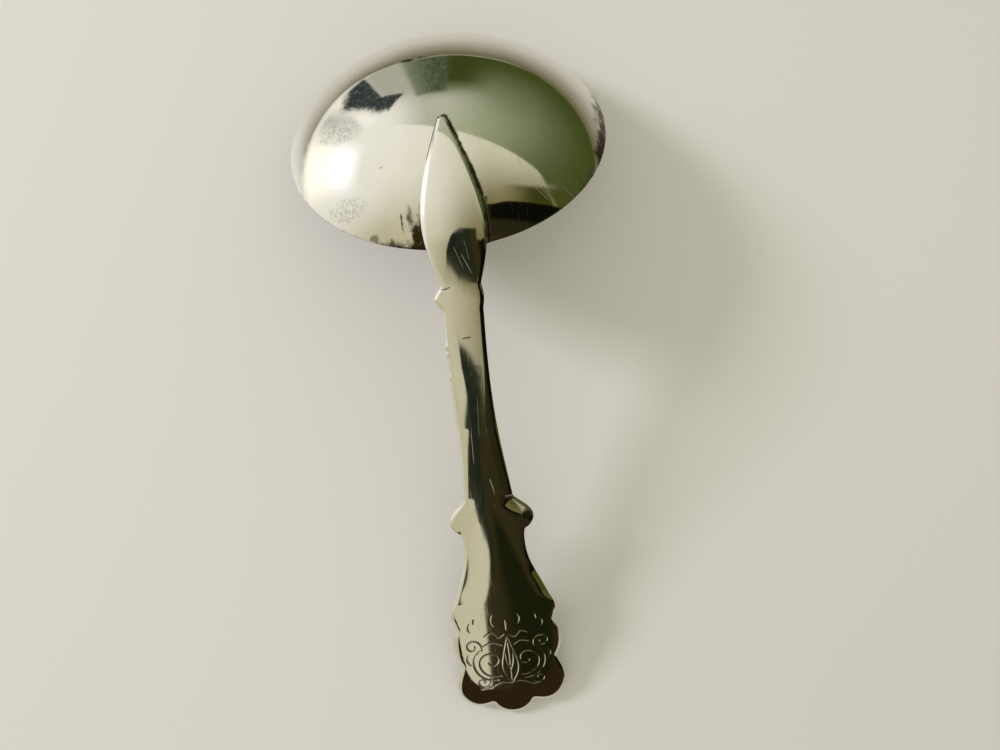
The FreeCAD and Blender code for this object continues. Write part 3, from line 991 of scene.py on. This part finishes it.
# Single scratches in plan: start, finish and half width
BOWL_HAIRLINES = [
    ((2.54, 29.4), (3.27, 27.6), 0.06),
    ((2.46, 28.6), (3.0, 27.4), 0.04),
    ((8.99, 22.45), (11.9, 19.5), 0.05),
    ((9.9, 22.0), (12.6, 19.5), 0.06),
    ((-4.92, 21.5), (-5.08, 18.8), 0.05),
    ((-6.97, 20.7), (-7.98, 19.1), 0.06),
    ((7.94, 25.7), (8.64, 23.6), 0.04),
    ((-0.92, 32.07), (-0.55, 31.0), 0.05),
    ((-4.3, 22.6), (-4.6, 17.2), 0.04),
    ((13.1, 21.8), (15.2, 19.9), 0.05)]
HANDLE_HAIRLINES = [
    ((0.3, 14.6), (1.45, 11.9), 0.05),
    ((-0.45, 15.5), (0.5, 12.6), 0.03),
    ((0.9, 15.9), (1.3, 13.4), 0.03),
    ((-1.1, -6.4), (-1.3, -11.0), 0.035),
    ((0.2, -2.0), (-0.2, -7.5), 0.03),
    ((1.7, 9.5), (1.2, 6.0), 0.03),
    ((-1.6, 22.0), (0.6, 20.9), 0.03)]

# Colours of the silver, one of them for tarnish and for painted shade, and how rough its haze, tarnish and
# scratches are
BRIGHT_SILVER = linear(241, 239, 232)
DULLER_SILVER = linear(229, 226, 216)
RUBBED_SILVER = linear(168, 168, 163)
# Brown-black of tarnish, also used for painted shade
TARNISH_AND_PAINTED_SHADE_SILVER = linear(70, 57, 32)
TARNISH_ROUGHNESS = 0.35
FINE_SCRATCH_ROUGHNESS = 0.06
HAIRLINE_ROUGHNESS = 0.35


def silver(name, polish, haze_roughness, scratched=()):
    """Polished silver: fine scratches, haze where it is rubbed, brown-black tarnish in corners, and painted
    shade on edges turned from the window.

    The attribute for tarnish and painted shade, and the one for haze, say where, from 0 to 1. Polish is its
    roughness where clean."""
    material, tree, shader, place = new_material(name)
    tarnish = node(tree, "ShaderNodeAttribute", attribute_name="tarnish").outputs["Fac"]
    haze = node(tree, "ShaderNodeAttribute", attribute_name="haze").outputs["Fac"]
    cloud = noise(tree, place, 900.0, 6.0, 0.65)
    # Tarnish, and painted shade where the marks carry it
    dirt_and_painted_shade = step_up(tree, plus(tree, tarnish, times(tree, cloud, 0.9)), 0.75, 1.15)
    rubbed = step_up(tree, plus(tree, haze, times(tree, cloud, 0.5)), 0.35, 1.0)
    scratches = larger(tree, fine_scratches(tree, place, radians(28), 6000.0, 300.0),
                       fine_scratches(tree, place, radians(-52), 5000.0, 250.0))
    single = hairlines(tree, place, scratched)
    pits = node(tree, "ShaderNodeTexVoronoi", {"Vector": place, "Scale": 520.0, "Randomness": 1.0})
    chance = node(tree, "ShaderNodeSeparateColor", {0: pits.outputs["Color"]}).outputs[0]
    pitted = times(tree, step_up(tree, chance, 0.93, 0.95),
                   step_up(tree, pits.outputs["Distance"], 0.07, 0.03))
    grit = noise(tree, place, 2600.0, 3.0, 0.7)
    specks = times(tree, step_up(tree, rubbed, 0.3, 1.0), step_up(tree, grit, 0.42, 0.64))

    clean = blend_colours(tree, noise(tree, place, 260.0, 3.0, 0.6), BRIGHT_SILVER, DULLER_SILVER)
    colour = blend_colours(tree, times(tree, specks, 0.7), clean, RUBBED_SILVER)
    colour = blend_colours(tree, larger(tree, dirt_and_painted_shade, pitted), colour, TARNISH_AND_PAINTED_SHADE_SILVER)
    tree.links.new(colour, shader.inputs["Base Color"])
    shader.inputs["Metallic"].default_value = 1.0
    rough = plus(tree, times(tree, rubbed, haze_roughness), polish,
                 times(tree, dirt_and_painted_shade, TARNISH_ROUGHNESS),
                 times(tree, scratches, FINE_SCRATCH_ROUGHNESS),
                 times(tree, single, HAIRLINE_ROUGHNESS))
    tree.links.new(rough, shader.inputs["Roughness"])
    relief = plus(tree, times(tree, scratches, -0.06), times(tree, dirt_and_painted_shade, cloud))
    bump = node(tree, "ShaderNodeBump", {"Strength": 0.12, "Distance": 0.00003, "Height": relief})
    tree.links.new(bump.outputs["Normal"], shader.inputs["Normal"])
    return material


def make_piece(name, points, faces, material, slot, stands_for=None, **marks):
    """One smooth mesh in metres that rides on the spoon, with its marks as attributes."""
    mesh = bpy.data.meshes.new(name)
    mesh.from_pydata((points * MM).tolist(), [], faces)
    for label, values in marks.items():
        layer = mesh.attributes.new(label, "FLOAT", "POINT")
        layer.data.foreach_set("value", np.asarray(values, np.float32))
    mesh.shade_smooth()
    mesh.materials.append(material)
    piece = bpy.data.objects.new(name, mesh)
    bpy.context.scene.collection.objects.link(piece)
    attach(piece, BODY)
    if stands_for:
        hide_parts(stands_for)
    return piece


# Soft spots in plan: place, reach across, reach along and strength
RIM_BACK_TARNISH = [(-6.5, 15.5, 7.5, 3.2, 0.62), (-4.6, 15.6, 1.4, 2.4, 0.8)]
RIM_RIGHT_TARNISH = [
    (19.3, 31.0, 2.4, 5.5, 0.72), (19.6, 26.3, 1.8, 3.0, 0.88), (17.5, 22.0, 3.0, 3.0, 0.5)]
BOWL_STAINS = [
    (-3.6, 39.2, 1.1, 0.35, 0.75), (-1.6, 39.4, 1.3, 0.3, 0.6), (-3.6, 19.4, 0.5, 2.0, 0.5),
    (-4.4, 17.3, 0.9, 1.6, 0.74), (-5.0, 19.2, 0.6, 2.6, 0.5), (-6.1, 18.6, 0.2, 1.8, 0.6),
    (-7.6, 16.6, 0.5, 1.3, 0.6), (-9.8, 17.6, 0.9, 0.8, 0.55)]
BOWL_HAZE = [
    (-3.5, 40.5, 3.6, 2.6, 0.3), (-12.6, 21.6, 3.4, 1.8, 0.6), (-12.8, 31.0, 3.4, 1.9, 0.7),
    (-18.5, 27.5, 3.8, 6.5, 0.36), (-13.2, 27.0, 3.4, 3.6, 0.3), (12.5, 21.5, 4.0, 2.0, 0.25)]
EAR_TARNISH = [(4.8, END_Y + 28.9, 1.1, 1.3, 0.66)]
HANDLE_HAZE = [(0.5, -3.0, 2.0, 9.0, 0.2), (1.5, 17.0, 2.5, 3.0, 0.2)]


def soft_spots(points, spots):
    """Strength of a few soft round spots at points in plan."""
    total = np.zeros(len(points))
    for x, y, across, along, strength in spots:
        away = ((points[:, 0] - x) / across) ** 2 + ((points[:, 1] - y) / along) ** 2
        total = np.maximum(total, strength * np.exp(-away ** 2))
    return total


def bowl_marks(points):
    """Tarnish along the seam, with painted shade towards its right, and along the rim's back and right
    side, and haze where it is rubbed.
    """
    plan = points[:, :2]
    near = edge_distance(plan)
    by_tongue = plan[:, 1] > RIM_BACK_Y - 1
    right_side = soft_step(plan[:, 0], -0.5, 0.5)
    # The seam's tarnish is real; its rise towards the right, away from the window, is painted shade
    seam = np.where(by_tongue, np.exp(-(near / 0.4) ** 2), 0) * 0.8 * (0.3 + 0.7 * right_side)
    corner = np.where(by_tongue, np.exp(-near), 0) * soft_step(-plan[:, 1], -23.5, -17.0)
    corner *= 0.95 - 0.6 * right_side
    over_rim = (points[:, 2] - RIM_MIDDLE_Z) * cos(BOWL_TILT) + (plan[:, 1] - RIM_MIDDLE_Y) * sin(BOWL_TILT)
    rim_edge = np.exp(-(over_rim / 0.5) ** 2) * 0.5
    rim_back = np.exp(-(over_rim / 1.5) ** 2) * soft_spots(plan, RIM_BACK_TARNISH)
    rim_right = np.exp(-(over_rim / 2.8) ** 2) * soft_spots(plan, RIM_RIGHT_TARNISH)
    stains = soft_spots(plan, BOWL_STAINS)
    tarnish = np.maximum.reduce([seam, corner, rim_back, rim_right, rim_edge, stains])
    return tarnish, soft_spots(plan, BOWL_HAZE)


def handle_marks(points):
    """Tarnish in the engraved lines and on the right ear, painted shade along the edge right of the seam,
    and a little haze.
    """
    plan = points[:, :2]
    engraving = np.clip(groove_depth(plan) / GROOVE_DEPTH, 0, 1) * 0.65
    # Painted shade: the tongue's edge right of the seam, turned from the window, is darkened with the
    # tarnish colour
    right_of_seam = (plan[:, 1] > RIM_BACK_Y) & (plan[:, 0] > 0.1)
    edge = np.where(right_of_seam, np.exp(-(edge_distance(plan) / 0.42) ** 4), 0) * 0.55
    tarnish = np.maximum.reduce([engraving, edge, soft_spots(plan, EAR_TARNISH)])
    return tarnish, soft_spots(plan, HANDLE_HAZE)


def make_bowl():
    """The bowl's finished sheet, in place of the plain one."""
    points, faces = bowl_mesh()
    tarnish, haze = bowl_marks(points)
    make_piece("bowl_sheet", points, faces, silver("bowl silver", 0.055, 0.3, BOWL_HAIRLINES),
               "bowl_silver", "bowl", tarnish=tarnish, haze=haze)


def make_handle():
    """The finished handle, in place of the plain one."""
    points, faces = handle_mesh()
    tarnish, haze = handle_marks(points)
    make_piece("engraved_handle", points, faces, silver("handle silver", 0.05, 0.3, HANDLE_HAIRLINES),
               "handle_silver", "handle", tarnish=tarnish, haze=haze)


def make_seam():
    """The bead of solder round the tongue, dark with tarnish, and lighter down its left side as painted
    light.
    """
    material = silver("seam silver", 0.2, 0.3)
    points, faces = seam_mesh(material)
    # Painted light: the bead is made less dark down its left side, towards the window
    left = soft_step(-points[:, 0], -0.3, 0.6) * soft_step(-points[:, 1], -26.5, -24.5)
    make_piece("solder_bead", points, faces, material, "bowl_silver",
               tarnish=0.75 - 0.5 * left, haze=np.full(len(points), 0.4))


FLOOR_COLOUR = linear(213, 209, 199)
FLOOR_RADIUS = 0.155
FLOOR_SIDES = 128
FLOOR_UNDER_SPOON = 0.00002
FLOOR_ROUGHNESS = 0.28
FLOOR_SPECULAR = 0.35


def floor_material():
    """A pale floor with a soft gloss.

    In the silver it darkens away from the spoon as painted shade, carries a painted pool of window light
    beside the bowl, and ends softly."""
    material, tree, shader, place = new_material("floor")
    x, y, z = node(tree, "ShaderNodeSeparateXYZ", {0: place}).outputs
    past_bowl = larger(tree, minus(tree, y, RIM_MIDDLE_Y * MM), 0.0)
    past_end = maths(tree, "MINIMUM", minus(tree, y, END_Y * MM), 0.0)
    outwards = node(tree, "ShaderNodeCombineXYZ", {0: x, 1: plus(tree, past_bowl, past_end)}).outputs[0]
    away = node(tree, "ShaderNodeVectorMath", {0: outwards}, operation="LENGTH").outputs["Value"]
    reflected = node(tree, "ShaderNodeLightPath").outputs["Is Glossy Ray"]
    # Painted shade: the floor seen in the silver darkens away from the spoon
    duller = times(tree, step_up(tree, away, 0.02, 0.055), 0.75, reflected)
    colour = blend_colours(tree, duller, FLOOR_COLOUR, linear(132, 127, 104))
    # Painted light: a bright patch of window light on the floor beside the bowl, seen only in the silver
    brighter = times(tree, step_up(tree, x, -0.017, -0.03), between(tree, y, 0.018, 0.04, 0.012), reflected)
    colour = blend_colours(tree, brighter, colour, linear(252, 250, 245))
    tree.links.new(colour, shader.inputs["Base Color"])
    shader.inputs["Roughness"].default_value = FLOOR_ROUGHNESS
    shader.inputs["Specular IOR Level"].default_value = FLOOR_SPECULAR
    clear = node(tree, "ShaderNodeBsdfTransparent").outputs[0]
    gone = times(tree, step_up(tree, away, 0.042, 0.075), reflected)
    seen = node(tree, "ShaderNodeMixShader", {0: gone, 1: shader.outputs[0], 2: clear}).outputs[0]
    tree.links.new(seen, tree.nodes["Material Output"].inputs["Surface"])
    return material


def make_floor():
    """The round floor, not part of the spoon."""
    mesh = bpy.data.meshes.new("floor")
    turns = [2 * pi * number / FLOOR_SIDES for number in range(FLOOR_SIDES)]
    ring = [(FLOOR_RADIUS * cos(turn), FLOOR_RADIUS * sin(turn), -FLOOR_UNDER_SPOON) for turn in turns]
    mesh.from_pydata(ring, [], [list(range(FLOOR_SIDES))])
    mesh.materials.append(floor_material())
    floor = bpy.data.objects.new("floor", mesh)
    bpy.context.scene.collection.objects.link(floor)


def make_camera():
    """The camera over the spoon, looking straight down."""
    data = bpy.data.cameras.new("camera")
    data.lens = CAMERA_LENS
    data.sensor_width = SENSOR_WIDTH
    data.clip_start = 0.005
    camera = bpy.data.objects.new("camera", data)
    camera.location = Vector(CAMERA_PLACE) * MM
    camera.rotation_euler = (0, 0, CAMERA_TURN)
    bpy.context.scene.collection.objects.link(camera)
    bpy.context.scene.camera = camera


# The window's light: where it comes from, its height over the floor, distance, size and colour
LIGHT_DIRECTION = radians(157)
LIGHT_HEIGHT = radians(26.5)
LIGHT_AWAY = 0.8
LIGHT_SIZE = (0.2, 0.16)
LIGHT_ENERGY = 5.3
LIGHT_COLOUR = (0.76, 0.76, 0.95)


def make_light():
    """A broad soft light from the left, low over the floor."""
    direction = LIGHT_DIRECTION + CAMERA_TURN
    level = cos(LIGHT_HEIGHT)
    place = Vector((cos(direction) * level, sin(direction) * level, sin(LIGHT_HEIGHT))) * LIGHT_AWAY
    data = bpy.data.lights.new("window light", "AREA")
    data.shape = "RECTANGLE"
    data.size, data.size_y = LIGHT_SIZE
    data.energy = LIGHT_ENERGY
    data.color = LIGHT_COLOUR
    light = bpy.data.objects.new("window light", data)
    light.location = place
    light.rotation_euler = (-place).to_track_quat("-Z", "Y").to_euler()
    light.visible_glossy = False
    bpy.context.scene.collection.objects.link(light)


# Colours of the room that the silver shows, and a dip of its skyline over the floor in degrees
WINDOW_LOW = (1.5, 1.44, 1.24, 1.0)
WINDOW_HIGH = (1.5, 1.54, 1.66, 1.0)
PANE = (1.05, 1.02, 0.97, 1.0)
FILL = (0.72, 0.72, 0.63, 1.0)
SKYLINE_DIP = 8.0


def room_directions(tree):
    """Where a ray looks: x and nearer, towards the handle's end, as shares, and angles in degrees."""
    seen = node(tree, "ShaderNodeTexCoord").outputs["Generated"]
    turned = node(tree, "ShaderNodeVectorRotate", {"Vector": seen, "Angle": -CAMERA_TURN},
                  rotation_type="Z_AXIS").outputs[0]
    ripple = vectors(tree, "SUBTRACT", noise(tree, turned, 5.0, 3.0, 0.55, "Color"), (0.5, 0.5, 0.5))
    loose = node(tree, "ShaderNodeVectorMath", {0: ripple, 1: (0.012, 0.012, 0.012), 2: turned},
                 operation="MULTIPLY_ADD").outputs[0]
    x, y, z = node(tree, "ShaderNodeSeparateXYZ", {0: loose}).outputs
    nearer = times(tree, y, -1.0)
    azimuth = times(tree, maths(tree, "ARCTAN2", y, x), degrees(1))
    from_left = times(tree, maths(tree, "ARCTAN2", nearer, times(tree, x, -1.0)), degrees(1))
    true_z = node(tree, "ShaderNodeSeparateXYZ", {0: turned}).outputs[2]
    elevation = times(tree, maths(tree, "ARCSINE", true_z), degrees(1))
    return turned, x, nearer, azimuth, from_left, elevation


def garden_side(tree, azimuth, elevation):
    """The green side of the room: dark low down and to the right, pale above."""
    share = times(tree, step_up(tree, elevation, -8.0, 54.0), step_up(tree, azimuth, -14.0, 92.0))
    colour = blend_colours(tree, share, linear(67, 77, 30), linear(168, 174, 143))
    corner = times(tree, step_up(tree, azimuth, 72.0, 90.0), step_up(tree, elevation, 27.0, 14.0))
    return blend_colours(tree, corner, colour, linear(60, 70, 29))


def cream_walls(tree, x, nearer):
    """Cream walls: pale to the left, darker to the right and towards the handle's end."""
    fade = step_up(tree, nearer, -0.25, 0.5)
    left = blend_colours(tree, fade, linear(243, 240, 227), linear(211, 206, 180))
    shade = times(tree, step_up(tree, nearer, -0.47, 0.3), step_up(tree, nearer, 0.66, 0.5))
    right = blend_colours(tree, shade, linear(214, 211, 187), linear(126, 119, 78))
    shift = times(tree, step_up(tree, nearer, 0.25, 0.38), 0.15)
    shift = minus(tree, shift, times(tree, step_up(tree, nearer, 0.435, 0.462), 0.25))
    return blend_colours(tree, step_up(tree, plus(tree, x, shift), -0.45, 0.42), left, right)


def pale_side(tree, from_left, elevation):
    """The pale wall at the left: where it stands, and its colour, brighter by the window."""
    beside = times(tree, step_up(tree, from_left, -88.0, -48.0), step_up(tree, from_left, 85.0, 60.0))
    above = times(tree, step_up(tree, from_left, -115.0, -75.0), step_up(tree, elevation, 22.0, 32.0))
    share = larger(tree, beside, times(tree, above, 0.35))
    share = times(tree, share, step_up(tree, elevation, 64.0, 30.0))
    fade = step_up(tree, from_left, 2.0, 44.0)
    return share, blend_colours(tree, fade, linear(250, 248, 240), linear(197, 192, 164))


def hatched_form(tree, colour, azimuth, from_left, elevation):
    """The hatched dark patch at the back left, with a pale gap beside it."""
    gap = patch(tree, (from_left, -72.0, -57.0, 3.0), (elevation, -15.0, 19.0, 5.0))
    colour = blend_colours(tree, gap, colour, linear(180, 180, 165))
    upright = node(tree, "ShaderNodeCombineXYZ", {
        0: times(tree, azimuth, 1.1), 1: times(tree, elevation, 0.16)}).outputs[0]
    hatching = step_up(tree, noise(tree, upright, 1.0, 4.0, 0.7), 0.42, 0.66)
    lines = blend_colours(tree, hatching, linear(66, 78, 52), linear(104, 114, 90))
    lines = blend_colours(tree, step_up(tree, from_left, -81.0, -67.0), lines, linear(136, 141, 118))
    where = patch(tree, (from_left, -84.5, -70.5, 1.6), (elevation, -13.0, 25.0, 1.8))
    return blend_colours(tree, where, colour, lines)


def speckled_form(tree, colour, turned, from_left, elevation):
    """The speckled dark patch beside it: a ragged body with a tapering tail, and a smudge."""
    smudge = patch(tree, (from_left, -42.0, -34.0, 4.0), (elevation, -12.0, 22.0, 4.0))
    colour = blend_colours(tree, times(tree, smudge, 0.8), colour, linear(186, 185, 178))
    speckle = noise(tree, turned, 34.0, 6.0, 0.75)
    ragged = times(tree, minus(tree, speckle, 0.5), 9.0)
    above = times(tree, larger(tree, elevation, 0.0), 0.33)
    below = times(tree, larger(tree, minus(tree, -3.0, elevation), 0.0), 0.6)
    right_side = plus(tree, from_left, plus(tree, above, below), ragged)
    body = times(tree, step_up(tree, from_left, -58.4, -57.0), step_up(tree, right_side, -42.0, -47.0))
    body = times(tree, body, between(tree, elevation, -14.0, 23.5, 2.0))
    tail_height = plus(tree, elevation, times(tree, ragged, 0.5))
    off_middle = maths(tree, "ABSOLUTE", minus(tree, tail_height, 18.6))
    taper = times(tree, plus(tree, from_left, 66.5), 0.66)
    tail = times(tree, step_up(tree, minus(tree, taper, off_middle), -0.6, 0.8),
                 step_up(tree, from_left, -54.0, -56.5))
    pale = step_up(tree, speckle, 0.5, 0.7)
    flecks = blend_colours(tree, pale, linear(52, 59, 57), linear(124, 132, 134))
    return blend_colours(tree, larger(tree, body, tail), colour, flecks)


def bright_window(tree, colour, from_left, elevation):
    """The bright window at the left and the small slanted pane beside it."""
    across = times(tree, step_up(tree, from_left, -34.0, -19.0), step_up(tree, from_left, 6.0, -14.0))
    glow = times(tree, across, between(tree, elevation, -14.0, 29.5, 7.0))
    light = blend_colours(tree, step_up(tree, elevation, 2.0, 22.0), WINDOW_LOW, WINDOW_HIGH)
    colour = blend_colours(tree, glow, colour, light)
    slanted = plus(tree, from_left, times(tree, elevation, 0.3))
    pane = patch(tree, (slanted, -41.5, -35.0, 1.6), (elevation, 12.0, 26.0, 2.0))
    return blend_colours(tree, pane, colour, PANE)


def olive_corner(tree, colour, x, nearer, wall):
    """The olive strip above the black form at the right, with a paler sliver along the wall's end."""
    strip = times(tree, between(tree, nearer, 0.03, 0.6, 0.03), step_up(tree, x, 0.40, 0.6))
    shade = blend_colours(tree, step_up(tree, x, 0.5, 0.78), linear(126, 121, 80), linear(60, 62, 17))
    sliver = between(tree, wall, 0.006, 0.042, 0.006)
    shade = blend_colours(tree, sliver, shade, linear(112, 113, 72))
    shade = blend_colours(tree, step_up(tree, wall, 0.006, -0.006), shade, linear(70, 75, 28))
    return blend_colours(tree, strip, colour, shade)


def black_form(tree, x, nearer):
    """Where the black form at the right stands."""
    edge = plus(tree, nearer, times(tree, step_up(tree, x, 0.36, 0.56), 0.045))
    return times(tree, step_up(tree, edge, 0.266, 0.272), between(tree, x, 0.33, 0.955, 0.015))


def round_form(tree, x, nearer):
    """Where the rounded dark form over the tongue stands."""
    left_x = maths(tree, "MINIMUM", x, 0.0)
    right_x = larger(tree, x, 0.0)
    top = plus(tree, minus(tree, nearer, 0.206), times(tree, right_x, 0.09))
    corner = plus(tree, minus(tree, nearer, 0.229), times(tree, x, 0.46))
    shoulder = plus(tree, minus(tree, nearer, 0.151), times(tree, x, 1.44))
    bottom = plus(tree, times(tree, right_x, -0.09), times(tree, left_x, 0.11), 0.4435)
    bottom = minus(tree, bottom, nearer)
    inside = smaller(tree, smaller(tree, top, corner, 0.03), times(tree, shoulder, 0.6), 0.03)
    inside = smaller(tree, inside, plus(tree, x, 0.162), 0.03)
    inside = maths(tree, "MINIMUM", inside, minus(tree, 0.335, x))
    return times(tree, step_up(tree, inside, -0.003, 0.003), step_up(tree, bottom, -0.001, 0.001))


def standing_form(tree, x, nearer, azimuth):
    """Where the tall dark form over the stem and the terminal stands, with its wavering left side."""
    waver = plus(tree, times(tree, step_up(tree, nearer, 0.578, 0.668), -0.3),
                 times(tree, step_up(tree, nearer, 0.665, 0.705), 0.245),
                 times(tree, step_up(tree, nearer, 0.70, 0.735), 0.135))
    inside = minus(tree, x, waver)
    top = minus(tree, nearer, times(tree, larger(tree, x, 0.0), 0.07))
    form = times(tree, step_up(tree, top, 0.519, 0.527), step_up(tree, inside, -0.087, -0.083))
    return times(tree, form, step_up(tree, azimuth, -10.0, -16.0))


def dark_tones(tree, x, nearer, elevation):
    """Colours within the dark forms: black green, brown beside it and reddish low down."""
    border = plus(tree, times(tree, step_up(tree, nearer, 0.54, 0.67), -0.26),
                  times(tree, step_up(tree, nearer, 0.695, 0.72), 0.06))
    brown = step_up(tree, minus(tree, x, border), 0.215, 0.25)
    brown = larger(tree, brown, step_up(tree, nearer, 0.745, 0.757))
    tone = blend_colours(tree, brown, linear(33, 38, 26), linear(49, 45, 22))
    greener = times(tree, step_up(tree, nearer, 0.675, 0.70), step_up(tree, x, 0.04, 0.12))
    tone = blend_colours(tree, greener, tone, linear(24, 27, 9))
    tone = blend_colours(tree, step_up(tree, elevation, 36.0, 29.0), tone, linear(44, 31, 17))
    deep = blend_colours(tree, step_up(tree, nearer, 0.41, 0.48), linear(6, 6, 2), linear(40, 36, 17))
    deep = blend_colours(tree, step_up(tree, nearer, 0.60, 0.66), deep, tone)
    return blend_colours(tree, step_up(tree, x, 0.3, 0.4), tone, deep)


def room_floor(tree, colour, azimuth, elevation):
    """The floor below the room's skyline, with a pale skirting at the back."""
    dip = times(tree, step_up(tree, maths(tree, "ABSOLUTE", azimuth), 98.0, 135.0), SKYLINE_DIP)
    over_floor = plus(tree, elevation, dip)
    skirting = patch(tree, (over_floor, -9.6, -8.6, 0.35), (azimuth, 72.0, 120.0, 8.0))
    colour = blend_colours(tree, skirting, colour, linear(190, 188, 164))
    fade = step_up(tree, over_floor, -9.0, -26.0)
    floor = blend_colours(tree, fade, linear(112, 107, 80), linear(166, 162, 142))
    return blend_colours(tree, step_up(tree, over_floor, -8.9, -9.5), colour, floor)


def room_colour(tree):
    """What polished surfaces see: a green side, cream walls, a bright window and dark forms."""
    turned, x, nearer, azimuth, from_left, elevation = room_directions(tree)
    wall = vectors(tree, "DOT_PRODUCT", turned, (-0.314, -0.778, 0.545), "Value")
    wall = minus(tree, wall, times(tree, step_up(tree, x, 0.74, 0.9), 0.07))
    colour = garden_side(tree, azimuth, elevation)
    colour = blend_colours(tree, step_up(tree, wall, -0.008, 0.008), colour, cream_walls(tree, x, nearer))
    pale, pale_colour = pale_side(tree, from_left, elevation)
    colour = blend_colours(tree, pale, colour, pale_colour)
    colour = hatched_form(tree, colour, azimuth, from_left, elevation)
    colour = speckled_form(tree, colour, turned, from_left, elevation)
    colour = bright_window(tree, colour, from_left, elevation)
    colour = olive_corner(tree, colour, x, nearer, wall)
    lowest = times(tree, between(tree, azimuth, -122.0, -26.0, 2.0), step_up(tree, elevation, 32.0, 30.0))
    dark = larger(tree, black_form(tree, x, nearer), round_form(tree, x, nearer),
                  standing_form(tree, x, nearer, azimuth), lowest)
    colour = blend_colours(tree, dark, colour, dark_tones(tree, x, nearer, elevation))
    return room_floor(tree, colour, azimuth, elevation)


def make_room():
    """The surroundings: the floor's pale colour to the camera, plain fill, and the room in gloss."""
    world = bpy.data.worlds.new("room")
    bpy.context.scene.world = world
    world.use_nodes = True
    tree = world.node_tree
    tree.nodes.clear()
    path = node(tree, "ShaderNodeLightPath").outputs
    fill, pale, room = [
        node(tree, "ShaderNodeBackground", {"Color": colour, "Strength": 1.0}).outputs[0]
        for colour in (FILL, FLOOR_COLOUR, room_colour(tree))]
    lit = node(tree, "ShaderNodeMixShader", {0: path["Is Glossy Ray"], 1: fill, 2: room}).outputs[0]
    seen = node(tree, "ShaderNodeMixShader", {0: path["Is Camera Ray"], 1: lit, 2: pale}).outputs[0]
    node(tree, "ShaderNodeOutputWorld", {"Surface": seen})


make_camera()
make_bowl()
make_handle()
make_seam()
make_floor()
make_light()
make_room()
bpy.context.scene.view_settings.view_transform = "Standard"
